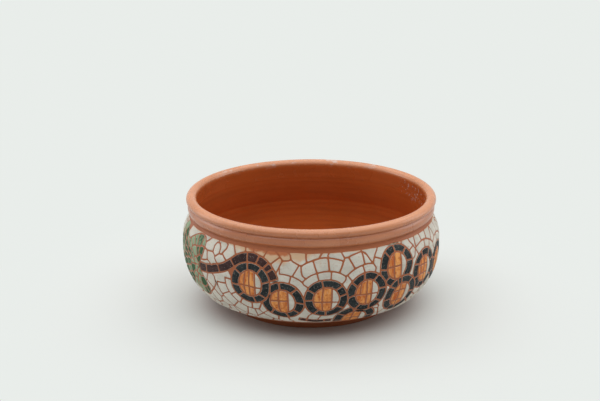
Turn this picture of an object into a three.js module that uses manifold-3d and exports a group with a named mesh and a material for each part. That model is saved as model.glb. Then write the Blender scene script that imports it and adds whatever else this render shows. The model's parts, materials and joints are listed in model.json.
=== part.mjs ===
// A thrown terracotta bowl whose belly wears a white coat of slip, painted with vine leaves, stems and grapes.
// Millimetres, +Z up. The origin is on the table at the middle of the foot, and the ornament's front faces -Y.

import * as THREE from "three";
import { mergeVertices } from "three/addons/utils/BufferGeometryUtils.js";
import Module from "manifold-3d";

const wasm = await Module();
wasm.setup();

// The turned clay, in the order that the profile meets it from the table upwards.
const FOOT_RADIUS = 44.8;
const FOOT_HEIGHT = 4;
const FOOT_FLARE = 0.7;
const FOOT_RING_WIDTH = 6;
const FOOT_EDGE = 0.7;
const RECESS_DEPTH = 2.6;
const RECESS_FILLET = 2;
const BELLY_RADIUS = 69.1;
const SHOULDER_HEIGHT = 17.4;
const NECK_DRAWN_IN = 3.7;
const WALL = 4.8;
const FLOOR_DISH = 1.4;
const DISH_HALF_WAY = 0.8;
const BAND_BULGE = 1.5;
const BAND_HEIGHT = 6.6;
const LIP_WIDTH = 5.3;
const LIP_HEIGHT = 5.1;
const LIP_SUNK = 0.4;
const LIP_OVERHANG = 0.5;
const LIP_TURN = [-30, 210];
const BOWL_HEIGHT = 62;

// The band's outline between the neck and the crease, as shares of its bulge and of its height.
const BAND_OUTLINE = [[0.75, 0.25], [1, 0.5], [0.8, 0.875]];

// How full the belly is: the reach of its curve's handles at the foot, below and above the widest line, and
// at the neck.
const FOOT_PULL = new THREE.Vector2(19, 4.4);
const LOWER_PULL = 10;
const UPPER_PULL = 6;
const NECK_PULL = new THREE.Vector2(4, 5.7);

// The coats. A seat gap keeps two coats apart as separate solids, and a joint is the scored line between two
// pieces of the mosaic.
const SLIP_THICKNESS = 0.4;
const PAINT_THICKNESS = 0.25;
const SEAT_GAP = 0.3;
const JOINT = 0.8;
const JOINT_DEPTH = 0.17;
const SLIP_START = 15;
const SLIP_STOP_BELOW_NECK = 2.4;
const PAINT_MARGIN = 0.4;

// The ornament is painted twice round the bowl. A place is its angle from the front, in degrees to the right,
// and its share of the slip band's height. A grape stands in front of those after it in the list, and one
// that is covered above and cut off below has its ring as two arcs.
const SIDES = ["front", "back"];
const GRAPES = [
  { angle: -26, share: 0.59 },
  { angle: -12, share: 0.39 },
  { angle: 6.3, share: 0.435 },
  { angle: 23.9, share: 0.48 },
  { angle: 42.5, share: 0.33 },
  { angle: 38.7, share: 0.745 },
  { angle: 20.5, share: 0.045, arcs: true },
  { angle: 57.5, share: 0.565 },
  { angle: 74, share: 0.52 },
];
const GRAPE_SHARE = 0.254;
const RING_PIECES = 8;
const CORE_WIDTH = 13.4;
const CORE_HEIGHT = 14.6;
const GLINT_START = 2.3;
const STEM_WIDTH = 4.4;
const STEM_PIECES = 8;
const STEM_ROUND_GRAPE = [118, 90, 62, 36, 14];
const STEM_FROM_LEAF = [
  { angle: -48, share: 0.64 },
  { angle: -38.5, share: 0.73 },
];
const TENDRIL_WIDTH = 1.8;
const TENDRIL_PIECES = 3;
const TENDRIL = [
  { angle: -5.5, share: 0.1 },
  { angle: 2, share: 0.055 },
  { angle: 9.5, share: 0.065 },
];
const LEAF = { angle: -70, share: 0.575, tilt: 6 };
const LEAF_LENGTH = 57;
const LEAF_SHARE = 0.93;
const LEAF_LOBES = 5;
const LEAF_NOTCH = 0.4;

// How finely curves are faceted.
const SEGMENTS = 54;
const SLIP_ROWS = 7;
const BARE_ROWS = 3;
const INSIDE_ROWS = 8;
const LIP_ROWS = 4;
const DISC_STEPS = 24;
const FLESH_STEPS = 12;
const FLESH_RINGS = 2;
const LEAF_STEPS = 30;
const LEAF_RINGS = 5;
const CUTTER_REACH = 3;
const CUTTER_RINGS = 4;
const SAME_SPOT = 1e-4;

const radians = THREE.MathUtils.degToRad;

// From the rim down: the lip sinks a little into the crease over the band, the band stands on the neck, and the
// shoulder reaches from there down to the widest line of the belly.
const CREASE_HEIGHT = BOWL_HEIGHT - LIP_HEIGHT + LIP_SUNK;
const NECK_HEIGHT = CREASE_HEIGHT - BAND_HEIGHT;
const NECK_RADIUS = BELLY_RADIUS - NECK_DRAWN_IN;
const BELLY_HEIGHT = NECK_HEIGHT - SHOULDER_HEIGHT;

function clayMaterial(name, colour, roughness) {
  const made = new THREE.MeshStandardMaterial({ color: colour, roughness, metalness: 0 });
  made.name = name;
  return made;
}

// The belly's outline from the top of the foot over the widest line to the neck.
function bellyCurve() {
  const foot = new THREE.Vector2(FOOT_RADIUS + FOOT_FLARE, FOOT_HEIGHT);
  const widest = new THREE.Vector2(BELLY_RADIUS, BELLY_HEIGHT);
  const neck = new THREE.Vector2(NECK_RADIUS, NECK_HEIGHT);
  const path = new THREE.CurvePath();
  path.add(new THREE.CubicBezierCurve(
    foot,
    foot.clone().add(FOOT_PULL),
    new THREE.Vector2(BELLY_RADIUS, BELLY_HEIGHT - LOWER_PULL),
    widest,
  ));
  path.add(new THREE.CubicBezierCurve(
    widest,
    new THREE.Vector2(BELLY_RADIUS, BELLY_HEIGHT + UPPER_PULL),
    new THREE.Vector2(NECK_RADIUS + NECK_PULL.x, NECK_HEIGHT - NECK_PULL.y),
    neck,
  ));
  return path;
}

const belly = bellyCurve();
const BELLY_LENGTH = belly.getLength();
const SLIP_STOP = BELLY_LENGTH - SLIP_STOP_BELOW_NECK;
const GRAPE_RADIUS = GRAPE_SHARE * (SLIP_STOP - SLIP_START);

// A point of the belly's section: its distance up the curve from the foot, and its lift off the clay. Past
// the ends of the curve it runs straight on.
function bellyPoint(distance, lift) {
  const along = THREE.MathUtils.clamp(distance, 0, BELLY_LENGTH);
  const tangent = belly.getTangentAt(along / BELLY_LENGTH);
  const point = belly.getPointAt(along / BELLY_LENGTH).addScaledVector(tangent, distance - along);
  return new THREE.Vector2(point.x + lift * tangent.y, point.y - lift * tangent.x);
}

// Points of the belly's section between two distances, with the same lift.
function bellyRows(from, to, count, lift) {
  const rows = [];
  for (let i = 0; i <= count; i++) rows.push(bellyPoint(THREE.MathUtils.lerp(from, to, i / count), lift));
  return rows;
}

function bandHeightAt(share) {
  return THREE.MathUtils.lerp(SLIP_START, SLIP_STOP, share);
}

// The underside: a shallow recess inside the foot ring, and the ring that the bowl stands on.
function footProfile() {
  const inside = FOOT_RADIUS - FOOT_RING_WIDTH;
  const fillet = new THREE.Path();
  fillet.absarc(inside - RECESS_FILLET, RECESS_DEPTH - RECESS_FILLET, RECESS_FILLET, Math.PI / 2, 0, true);
  return [
    new THREE.Vector2(0, RECESS_DEPTH),
    ...fillet.getPoints(1),
    new THREE.Vector2(inside + FOOT_EDGE / 2, 0),
    new THREE.Vector2(FOOT_RADIUS - FOOT_EDGE, 0),
    new THREE.Vector2(FOOT_RADIUS, FOOT_EDGE),
  ];
}

// The flat convex band under the lip, the crease above it, and the rolled lip.
function rimProfile() {
  const band = BAND_OUTLINE.map(([out, up]) => (
    new THREE.Vector2(NECK_RADIUS + out * BAND_BULGE, NECK_HEIGHT + up * BAND_HEIGHT)
  ));
  const lip = new THREE.Path();
  const lipCentre = NECK_RADIUS + BAND_BULGE + LIP_OVERHANG - LIP_WIDTH / 2;
  const lipMiddle = BOWL_HEIGHT - LIP_HEIGHT / 2;
  lip.absellipse(lipCentre, lipMiddle, LIP_WIDTH / 2, LIP_HEIGHT / 2, ...LIP_TURN.map(radians));
  return [...band, ...lip.getPoints(LIP_ROWS)];
}

// The whole section of the clay, from the middle of the underside round to the middle of the floor.
function clayProfile() {
  const outside = [
    ...bellyRows(0, SLIP_START, BARE_ROWS, 0),
    ...bellyRows(SLIP_START, SLIP_STOP, SLIP_ROWS, 0).slice(1),
    bellyPoint(BELLY_LENGTH, 0),
  ];
  const inside = bellyRows(BELLY_LENGTH, 0, INSIDE_ROWS, -WALL);
  const floor = inside[inside.length - 1].y;
  return [
    ...footProfile(),
    ...outside,
    ...rimProfile(),
    ...inside,
    new THREE.Vector2(FOOT_RADIUS / 2, floor - FLOOR_DISH * DISH_HALF_WAY),
    new THREE.Vector2(0, floor - FLOOR_DISH),
  ];
}

// The closed section of a coat between two lifts off the clay.
function coatProfile(from, to, low, high) {
  const outer = bellyRows(from, to, SLIP_ROWS, high);
  const inner = bellyRows(to, from, SLIP_ROWS, low);
  return [...outer, ...inner, outer[0].clone()];
}

// A geometry as a solid: only positions, shared vertices merged, and no collapsed triangles.
function solidOf(geometry) {
  const bare = geometry.index ? geometry.toNonIndexed() : geometry.clone();
  bare.deleteAttribute("normal");
  bare.deleteAttribute("uv");
  const merged = mergeVertices(bare, SAME_SPOT);
  const kept = [];
  const index = merged.index.array;
  for (let i = 0; i < index.length; i += 3) {
    const [a, b, c] = [index[i], index[i + 1], index[i + 2]];
    if (a !== b && b !== c && a !== c) kept.push(a, b, c);
  }
  return new wasm.Manifold(new wasm.Mesh({
    numProp: 3,
    vertProperties: merged.attributes.position.array,
    triVerts: new Uint32Array(kept),
  }));
}

function geometryOf(solid) {
  const mesh = solid.getMesh();
  const positions = new Float32Array(mesh.numVert * 3);
  for (let i = 0; i < mesh.numVert; i++) {
    positions.set(mesh.vertProperties.subarray(i * mesh.numProp, i * mesh.numProp + 3), i * 3);
  }
  const geometry = new THREE.BufferGeometry();
  geometry.setAttribute("position", new THREE.BufferAttribute(positions, 3));
  geometry.setIndex(new THREE.BufferAttribute(mesh.triVerts, 1));
  geometry.computeVertexNormals();
  return geometry;
}

// A profile turned about the bowl's upright axis.
function turned(profile) {
  return new THREE.LatheGeometry(profile, SEGMENTS).rotateX(Math.PI / 2);
}

// A flat geometry laid round the belly. Its x is millimetres to the right of an angle, its y is the distance
// up from a height of the band, and its z is the lift off the clay.
function laidOnBelly(geometry, place, offset) {
  const height = bandHeightAt(place.share);
  const radius = bellyPoint(height, 0).x;
  const spots = geometry.attributes.position;
  for (let i = 0; i < spots.count; i++) {
    const section = bellyPoint(height + spots.getY(i), spots.getZ(i));
    const turn = radians(place.angle + offset) + spots.getX(i) / radius;
    spots.setXYZ(i, section.x * Math.sin(turn), -section.x * Math.cos(turn), section.y);
  }
  return solidOf(geometry);
}

const slipLow = SEAT_GAP;
const slipHigh = slipLow + SLIP_THICKNESS;
const paintLow = slipHigh + SEAT_GAP;
const paintHigh = paintLow + PAINT_THICKNESS;

// The corners of a coat of paint across its width: 0 or 1 for its inner and outer edge, and its top or not.
const CORNERS = [[0, false], [1, false], [1, true], [0, true], [0, false]];

// Where a run of mosaic pieces changes height: each piece's start, middle and end as shares of the run, and the
// bottom of the joint before it.
function jointedColumns(count, length) {
  const half = JOINT / 2 / length;
  const columns = [];
  for (let i = 0; i < count; i++) {
    columns.push({ at: i / count, joint: true });
    columns.push({ at: i / count + half, joint: false });
    columns.push({ at: (i + 0.5) / count, joint: false });
    columns.push({ at: (i + 1) / count - half, joint: false });
  }
  return columns;
}

function topOf(column) {
  return column.joint ? paintHigh - JOINT_DEPTH : paintHigh;
}

// A closed ring of columns. spotAt gives the flat point of a column's inner or outer edge.
function ringPlate(columns, spotAt) {
  const square = CORNERS.map(([edge, top]) => new THREE.Vector2(1 + edge, Number(top)));
  const geometry = new THREE.LatheGeometry(square, columns.length);
  const spots = geometry.attributes.position;
  for (let i = 0; i < spots.count; i++) {
    const column = columns[Math.floor(i / CORNERS.length) % columns.length];
    const [edge, top] = CORNERS[i % CORNERS.length];
    const spot = spotAt(column.at, edge);
    spots.setXYZ(i, spot.x, spot.y, top ? topOf(column) : paintLow);
  }
  return geometry;
}

// An open run of columns from a first piece to a last, with square ends.
function stripPlate(columns, spotAt) {
  const run = [{ at: 0, joint: false }, ...columns.slice(2, -1), { at: 1, joint: false }];
  const geometry = new THREE.BoxGeometry(run.length - 1, 1, 1, run.length - 1, 1, 1);
  const spots = geometry.attributes.position;
  for (let i = 0; i < spots.count; i++) {
    const column = run[Math.round(spots.getX(i) + (run.length - 1) / 2)];
    const spot = spotAt(column.at, spots.getY(i) + 0.5);
    spots.setXYZ(i, spot.x, spot.y, spots.getZ(i) > 0 ? topOf(column) : paintLow);
  }
  return geometry;
}

// A plate without a hole, spread from its middle. reachAt gives the distance to its edge at each turn.
function discPlate(steps, rings, middle, reachAt, low = paintLow, high = paintHigh) {
  const profile = [];
  for (let i = 0; i <= rings; i++) profile.push(new THREE.Vector2(i / rings, low));
  for (let i = rings; i >= 0; i--) profile.push(new THREE.Vector2(i / rings, high));
  const geometry = new THREE.LatheGeometry(profile, steps);
  const spots = geometry.attributes.position;
  for (let i = 0; i < spots.count; i++) {
    const { x: share, y: lift } = profile[i % profile.length];
    const turn = (Math.floor(i / profile.length) % steps) * ((2 * Math.PI) / steps);
    const reach = share * reachAt(turn);
    spots.setXYZ(i, middle.x + reach * Math.cos(turn), middle.y + reach * Math.sin(turn), lift);
  }
  return geometry;
}

function onEllipse(turn, halfWidth, halfHeight) {
  return new THREE.Vector2(halfWidth * Math.cos(turn), halfHeight * Math.sin(turn));
}

// A spot of the dark ring, on the edge of its core or on its outer edge.
function ringSpot(turn, edge) {
  const inner = onEllipse(turn, (CORE_WIDTH + JOINT) / 2, (CORE_HEIGHT + JOINT) / 2);
  return inner.lerp(onEllipse(turn, GRAPE_RADIUS, GRAPE_RADIUS), edge);
}

function ringGeometry() {
  const columns = jointedColumns(RING_PIECES, 2 * Math.PI * GRAPE_RADIUS);
  return ringPlate(columns, (at, edge) => ringSpot(at * 2 * Math.PI, edge));
}

// Half of the ring, about its right or, half a turn on, its left.
function halfRingGeometry(middle) {
  const opening = Math.PI - JOINT / GRAPE_RADIUS;
  const columns = jointedColumns(Math.ceil(RING_PIECES / 2), Math.PI * GRAPE_RADIUS);
  return stripPlate(columns, (at, edge) => ringSpot(middle + (0.5 - at) * opening, edge));
}

// The amber flesh: the core of the grape, less the glint that stays white on its right.
function fleshGeometry() {
  const halfWidth = (CORE_WIDTH - JOINT) / 2;
  const halfHeight = (CORE_HEIGHT - JOINT) / 2;
  const middle = (GLINT_START - halfWidth) / 2;
  const reachAt = (turn) => {
    const across = Math.cos(turn);
    const a = (across / halfWidth) ** 2 + (Math.sin(turn) / halfHeight) ** 2;
    const b = (middle * across) / halfWidth ** 2;
    const c = (middle / halfWidth) ** 2 - 1;
    const toCore = (Math.sqrt(b * b - a * c) - b) / a;
    return across > 0 ? Math.min(toCore, (GLINT_START - middle) / across) : toCore;
  };
  return discPlate(FLESH_STEPS, FLESH_RINGS, new THREE.Vector2(middle, 0), reachAt);
}

// A lobed vine leaf's reach from its middle. The stalk comes in at the notch on its right.
function leafReach(turn) {
  const halfHeight = (LEAF_SHARE * (SLIP_STOP - SLIP_START)) / 2;
  const own = turn - radians(LEAF.tilt);
  const lobe = Math.cos((LEAF_LOBES / 2) * (own - Math.PI)) ** 2;
  return (1 - LEAF_NOTCH + LEAF_NOTCH * lobe) * onEllipse(own, LEAF_LENGTH / 2, halfHeight).length();
}

function leafGeometry() {
  return discPlate(LEAF_STEPS, LEAF_RINGS, new THREE.Vector2(), leafReach);
}

// A strip of even width along a smooth line through some points.
function stripGeometry(points, width, pieces) {
  const line = new THREE.SplineCurve(points);
  return stripPlate(jointedColumns(pieces, line.getLength()), (at, edge) => {
    const tangent = line.getTangentAt(at);
    const side = new THREE.Vector2(-tangent.y, tangent.x);
    return line.getPointAt(at).addScaledVector(side, (edge - 0.5) * width);
  });
}

// A place on the ornament as millimetres from another place.
function fromPlace(place, origin) {
  const height = bandHeightAt(origin.share);
  const across = radians(place.angle - origin.angle) * bellyPoint(height, 0).x;
  return new THREE.Vector2(across, bandHeightAt(place.share) - height);
}

// The leaf's notch, a joint away from the leaf, as millimetres from another place.
function notchFrom(origin) {
  const turn = radians(LEAF.tilt);
  const spot = onEllipse(turn, leafReach(turn) + JOINT, leafReach(turn) + JOINT);
  const stretch = bellyPoint(bandHeightAt(origin.share), 0).x / bellyPoint(bandHeightAt(LEAF.share), 0).x;
  return fromPlace(LEAF, origin).add(new THREE.Vector2(spot.x * stretch, spot.y));
}

// The stem leaves the leaf's notch, dips, and then runs round the top of the first grape.
function stemGeometry() {
  const round = GRAPE_RADIUS + JOINT + STEM_WIDTH / 2;
  const points = [notchFrom(GRAPES[0]), ...STEM_FROM_LEAF.map((place) => fromPlace(place, GRAPES[0]))];
  for (const angle of STEM_ROUND_GRAPE) points.push(onEllipse(radians(angle), round, round));
  return stripGeometry(points, STEM_WIDTH, STEM_PIECES);
}

function tendrilGeometry() {
  const points = TENDRIL.map((place) => fromPlace(place, TENDRIL[0]));
  return stripGeometry(points, TENDRIL_WIDTH, TENDRIL_PIECES);
}

// A deep plate for cutting what stands behind or beside an outline, with a joint left clear all round it.
function cutter(steps, reachAt) {
  const reach = (turn) => reachAt(turn) + JOINT;
  const [low, high] = [paintLow - CUTTER_REACH, paintHigh + CUTTER_REACH];
  return discPlate(steps, CUTTER_RINGS, new THREE.Vector2(), reach, low, high);
}

function grapeCutter() {
  return cutter(DISC_STEPS, () => GRAPE_RADIUS);
}

function leafCutter() {
  return cutter(LEAF_STEPS, leafReach);
}

const clay = turned(clayProfile());
const slip = turned(coatProfile(SLIP_START, SLIP_STOP, slipLow, slipHigh));
const paintBand = solidOf(turned(coatProfile(
  SLIP_START + PAINT_MARGIN,
  SLIP_STOP - PAINT_MARGIN,
  paintLow - CUTTER_REACH,
  paintHigh + CUTTER_REACH,
)));

// The rings and flesh of one repeat's grapes, each cut back from the grapes that stand in front of it.
function grapePieces(offset, discs) {
  const pieces = [];
  GRAPES.forEach((place, i) => {
    const plates = { [`grape_flesh_${i + 1}`]: fleshGeometry() };
    if (place.arcs) {
      plates[`grape_ring_${i + 1}_right`] = halfRingGeometry(0);
      plates[`grape_ring_${i + 1}_left`] = halfRingGeometry(Math.PI);
    } else {
      plates[`grape_ring_${i + 1}`] = ringGeometry();
    }
    for (const [name, plate] of Object.entries(plates)) {
      let solid = laidOnBelly(plate, place, offset).intersect(paintBand);
      for (const disc of discs.slice(0, i)) solid = solid.subtract(disc);
      pieces.push({ name, solid, finish: name.includes("flesh") ? "flesh" : "ring" });
    }
  });
  return pieces;
}

// The leaf, the stem and the tendril of one repeat, cut back from the grapes.
function vinePieces(offset, discs) {
  const leaf = laidOnBelly(leafGeometry(), LEAF, offset).intersect(paintBand);
  let stem = laidOnBelly(stemGeometry(), GRAPES[0], offset).intersect(paintBand);
  let tendril = laidOnBelly(tendrilGeometry(), TENDRIL[0], offset).intersect(paintBand);
  stem = stem.subtract(laidOnBelly(leafCutter(), LEAF, offset));
  for (const disc of discs) {
    stem = stem.subtract(disc);
    tendril = tendril.subtract(disc);
  }
  return [
    { name: "vine_leaf", solid: leaf, finish: "leaf" },
    { name: "vine_stem", solid: stem, finish: "stem" },
    { name: "tendril", solid: tendril, finish: "stem" },
  ];
}

const FINISHES = {
  clay: ["terracotta", 0xb9713f, 0.75],
  slip: ["white_slip", 0xd8d6c8, 0.8],
  ring: ["black_paint", 0x262c2e, 0.6],
  flesh: ["amber_paint", 0xd98a3a, 0.6],
  stem: ["brown_paint", 0x3d2424, 0.6],
  leaf: ["green_paint", 0x5f8f62, 0.6],
};

function piece(name, geometry, finish) {
  const mesh = new THREE.Mesh(geometry, clayMaterial(...FINISHES[finish]));
  mesh.name = name;
  return mesh;
}

const bowl = new THREE.Group();
bowl.name = "pottery_bowl";
bowl.add(piece("clay_body", clay, "clay"));
bowl.add(piece("slip_coat", slip, "slip"));
SIDES.forEach((side, repeat) => {
  const offset = (repeat * 360) / SIDES.length;
  const discs = GRAPES.map((place) => laidOnBelly(grapeCutter(), place, offset));
  for (const made of [...grapePieces(offset, discs), ...vinePieces(offset, discs)]) {
    bowl.add(piece(`${side}_${made.name}`, geometryOf(made.solid), made.finish));
  }
});

export default bowl;
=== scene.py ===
# %% [markdown]
# # A terracotta bowl with a scored vine
# This bowl was thrown on a wheel, coated with white slip round its belly, painted with a vine and grapes,
# and then scored with a needle so that the painting looks like a mosaic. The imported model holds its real
# sizes. This script keeps those sizes and gives every piece its fine surface.

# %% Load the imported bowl
import json
import math
import random

import bmesh
import bpy
import numpy as np
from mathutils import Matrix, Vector, noise
from mathutils.geometry import area_tri, delaunay_2d_cdt, interpolate_bezier, tessellate_polygon

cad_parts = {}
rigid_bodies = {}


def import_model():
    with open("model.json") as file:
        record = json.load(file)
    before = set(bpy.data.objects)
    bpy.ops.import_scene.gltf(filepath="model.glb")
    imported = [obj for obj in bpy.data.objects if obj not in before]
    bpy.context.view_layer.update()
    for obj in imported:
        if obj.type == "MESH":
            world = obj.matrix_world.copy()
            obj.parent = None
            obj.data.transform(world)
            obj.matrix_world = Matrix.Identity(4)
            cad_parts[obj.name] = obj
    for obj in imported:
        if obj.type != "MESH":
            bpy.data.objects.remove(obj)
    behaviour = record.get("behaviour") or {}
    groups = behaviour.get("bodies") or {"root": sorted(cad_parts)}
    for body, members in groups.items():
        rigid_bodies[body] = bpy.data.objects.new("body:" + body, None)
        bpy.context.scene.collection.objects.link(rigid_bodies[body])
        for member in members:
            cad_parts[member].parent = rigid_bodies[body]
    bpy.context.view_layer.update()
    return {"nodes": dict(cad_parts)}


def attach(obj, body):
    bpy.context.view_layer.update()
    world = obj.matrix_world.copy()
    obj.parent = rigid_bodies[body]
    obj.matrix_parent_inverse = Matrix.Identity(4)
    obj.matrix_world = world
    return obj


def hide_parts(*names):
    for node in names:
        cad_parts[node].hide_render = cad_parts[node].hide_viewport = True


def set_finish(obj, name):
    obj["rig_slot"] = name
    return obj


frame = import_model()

print("pieces in the packed model:", len(frame["nodes"]))

# %% [markdown]
# ## The belly's outline
# A thrown pot is described by half of its outline. Two Bezier curves meet at the widest line of the
# belly, as a potter's profile gauge would. The sizes are in millimetres, and a mesh is scaled to metres
# when it is finished, because small numbers of metres would lose digits while we cut and inset.

# %% Draw the outline of the belly
MILLIMETRE = 0.001
FOOT_RADIUS, FOOT_HEIGHT, FOOT_FLARE = 44.8, 4.0, 0.7
BELLY_RADIUS, BELLY_HEIGHT = 69.1, 33.3
NECK_RADIUS, NECK_HEIGHT = 65.4, 50.7
FOOT_PULL = Vector((19.0, 4.4))
LOWER_PULL, UPPER_PULL = 10.0, 6.0
NECK_PULL = Vector((4.0, 5.7))
CURVE_STEPS = 200

foot_top = Vector((FOOT_RADIUS + FOOT_FLARE, FOOT_HEIGHT))
widest = Vector((BELLY_RADIUS, BELLY_HEIGHT))
neck = Vector((NECK_RADIUS, NECK_HEIGHT))
outline = interpolate_bezier(
    foot_top, foot_top + FOOT_PULL, widest - Vector((0, LOWER_PULL)), widest, CURVE_STEPS)
outline += interpolate_bezier(
    widest, widest + Vector((0, UPPER_PULL)), neck + Vector((NECK_PULL.x, -NECK_PULL.y)), neck,
    CURVE_STEPS)[1:]

belly = np.array([spot[:2] for spot in outline])
steps = np.hypot(*np.diff(belly, axis=0).T)
belly_along = np.concatenate([[0], np.cumsum(steps)])
belly_slope = np.gradient(belly, belly_along, axis=0)
BELLY_LENGTH = float(belly_along[-1])
print("length of the belly's curve:", round(BELLY_LENGTH, 2), "mm")

# %% [markdown]
# ## A flat plan of the belly
# The ornament is easier to draw on a flat plan and to wrap round the pot afterwards. A plain unrolling
# would squeeze shapes near the foot sideways. We stretch the plan's height by the same share as its
# width, as a sea chart does, so a small square on the plan stays a square on the pot.

# %% Go between the pot and its flat plan
plan_stretch = BELLY_RADIUS / belly[:, 0]
plan_up = np.concatenate([[0], np.cumsum(steps * (plan_stretch[1:] + plan_stretch[:-1]) / 2)])
ROUND = 2 * math.pi * BELLY_RADIUS


def radius_at(along):
    """The pot's radius at a distance up the belly's curve."""
    return float(np.interp(along, belly_along, belly[:, 0]))


def plan_spot(angle, along):
    """A spot on the plan from its angle in radians and its distance up the curve."""
    below = min(along, 0.0)
    above = max(along - BELLY_LENGTH, 0.0)
    return Vector((angle * BELLY_RADIUS, float(np.interp(along, belly_along, plan_up)) + below + above))


def pot_spot(spot):
    """The angle and the distance up the curve of a spot on the plan."""
    return spot[0] / BELLY_RADIUS, float(np.interp(spot[1], plan_up, belly_along))


print("size of the plan:", round(ROUND, 1), "by", round(float(plan_up[-1]), 1), "mm")

# %% [markdown]
# ## The ornament's measures
# One repeat covers half of the pot and the second is the same, half a turn further. A grape's place is
# its angle from the front and its share of the slip band's height. Each grape lies in front of those
# after it in the list, like scales on a fish, which is how the painter laid them.

# %% Name the ornament's measures
SLIP_START, SLIP_STOP = 15.0, BELLY_LENGTH - 2.4
SLIP_BAND = SLIP_STOP - SLIP_START
JOINT = 0.8
GRAPE_SHARE = 0.254
GRAPE_RADIUS = GRAPE_SHARE * SLIP_BAND
GRAPES = [
    (-26.0, 0.59), (-12.0, 0.39), (6.3, 0.435), (23.9, 0.48), (42.5, 0.33),
    (38.7, 0.745), (20.5, 0.045), (57.5, 0.565), (74.0, 0.52),
]
ARC_GRAPE = 7
RING_PIECES = 8
CORE_HALF = Vector((12.9, 14.1)) / 2
GLINT_START = 2.3
STEM_WIDTH = 3.9
STEM_PIECES = 8
STEM_FROM_LEAF = [(-48.0, 0.64), (-38.5, 0.73)]
STEM_ROUND_GRAPE = [118, 90, 62, 36, 14]
TENDRIL_WIDTH = 1.8
TENDRIL_PIECES = 3
TENDRIL = [(-5.5, 0.1), (2.0, 0.055), (9.5, 0.065)]
LEAF = (-70.0, 0.575)
LEAF_TILT = math.radians(6)
LEAF_LENGTH = 57.0
LEAF_HEIGHT = 0.93 * SLIP_BAND
LEAF_LOBES = 5
LEAF_NOTCH = 0.4
REPEATS = ("front", "back")
DRAW_SEED = 11

ring_line = GRAPE_RADIUS + JOINT / 2
draw = random.Random(DRAW_SEED)


def height_of(share):
    return SLIP_START + share * SLIP_BAND


def from_place(place, across, up, turn=0.0):
    """The angle and the height of a spot that lies millimetres to the right of a place and above it."""
    along = height_of(place[1])
    return math.radians(place[0] + turn) + across / radius_at(along), along + up


def to_place(place, angle, along, turn=0.0):
    """How many millimetres a spot lies to the right of a place and above it."""
    height = height_of(place[1])
    away = (angle - math.radians(place[0] + turn) + math.pi) % (2 * math.pi) - math.pi
    return Vector((away * radius_at(height), along - height))


print("a grape is", round(2 * GRAPE_RADIUS, 1), "mm across")

# %% [markdown]
# ## The shapes of the vine
# The leaf is an oval whose reach swings in and out five times on its way round, which makes five lobes,
# with a notch on the right for the stalk. The stem and the tendril are smooth curves through a few listed
# spots. The stem leaves the leaf at its notch and then lies over the first grape like an arm.

# %% Draw the leaf's edge, the stem and the tendril
def leaf_reach(turn):
    """The leaf's edge from its middle: an oval with five lobes, and a notch on the right for the stalk."""
    own = turn - LEAF_TILT
    lobe = math.cos(LEAF_LOBES / 2 * (own - math.pi)) ** 2
    oval = math.hypot(LEAF_LENGTH / 2 * math.cos(own), LEAF_HEIGHT / 2 * math.sin(own))
    return (1 - LEAF_NOTCH + LEAF_NOTCH * lobe) * oval


def smooth_line(points, parts=8):
    """A curve through some points, made of Bezier pieces whose handles follow the neighbours."""
    line = [points[0]]
    for i in range(len(points) - 1):
        before, start = points[max(i - 1, 0)], points[i]
        end, after = points[i + 1], points[min(i + 2, len(points) - 1)]
        first_handle = start + (end - before) / 6
        second_handle = end - (after - start) / 6
        piece = interpolate_bezier(start, first_handle, second_handle, end, parts + 1)
        line += [Vector(spot[:2]) for spot in piece[1:]]
    return line


def stem_line():
    """The middle of the stem in millimetres from the first grape: from the leaf's notch over the grape."""
    notch = leaf_reach(LEAF_TILT) + JOINT
    spots = [from_place(LEAF, notch * math.cos(LEAF_TILT), notch * math.sin(LEAF_TILT))]
    spots += [from_place(place, 0, 0) for place in STEM_FROM_LEAF]
    points = [to_place(GRAPES[0], *spot) for spot in spots]
    reach = GRAPE_RADIUS + JOINT + STEM_WIDTH / 2
    for degrees in STEM_ROUND_GRAPE:
        points.append(reach * Vector((math.cos(math.radians(degrees)), math.sin(math.radians(degrees)))))
    return smooth_line(points)


def tendril_line():
    return smooth_line([to_place(TENDRIL[0], *from_place(place, 0, 0)) for place in TENDRIL])


stem = stem_line()
tendril = tendril_line()
print("points along the stem:", len(stem), "and along the tendril:", len(tendril))

# %% [markdown]
# ## Whose spot is it?
# Before a line is scored we must know what lies at its place: which grape is in front, where the leaf
# ends, and where the stem runs. These few questions are asked again later, to tell each scored piece its
# colour.

# %% Ask what lies at a spot
def distance_to_line(spot, line):
    best = 1e9
    for start, end in zip(line, line[1:]):
        side = end - start
        share = min(max((spot - start).dot(side) / side.length_squared, 0), 1)
        best = min(best, (spot - start - share * side).length)
    return best


def grape_distances(angle, along):
    """The distance to the middle of every grape of both repeats, with the repeat and the grape's number."""
    found = []
    for side, repeat in enumerate(REPEATS):
        for number, place in enumerate(GRAPES, 1):
            found.append((to_place(place, angle, along, 180 * side).length, repeat, number))
    return found


def in_front_grape(angle, along, number, side):
    """Whether a grape that lies in front of this one covers the spot."""
    return any(to_place(place, angle, along, 180 * side).length < ring_line for place in GRAPES[:number - 1])


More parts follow.
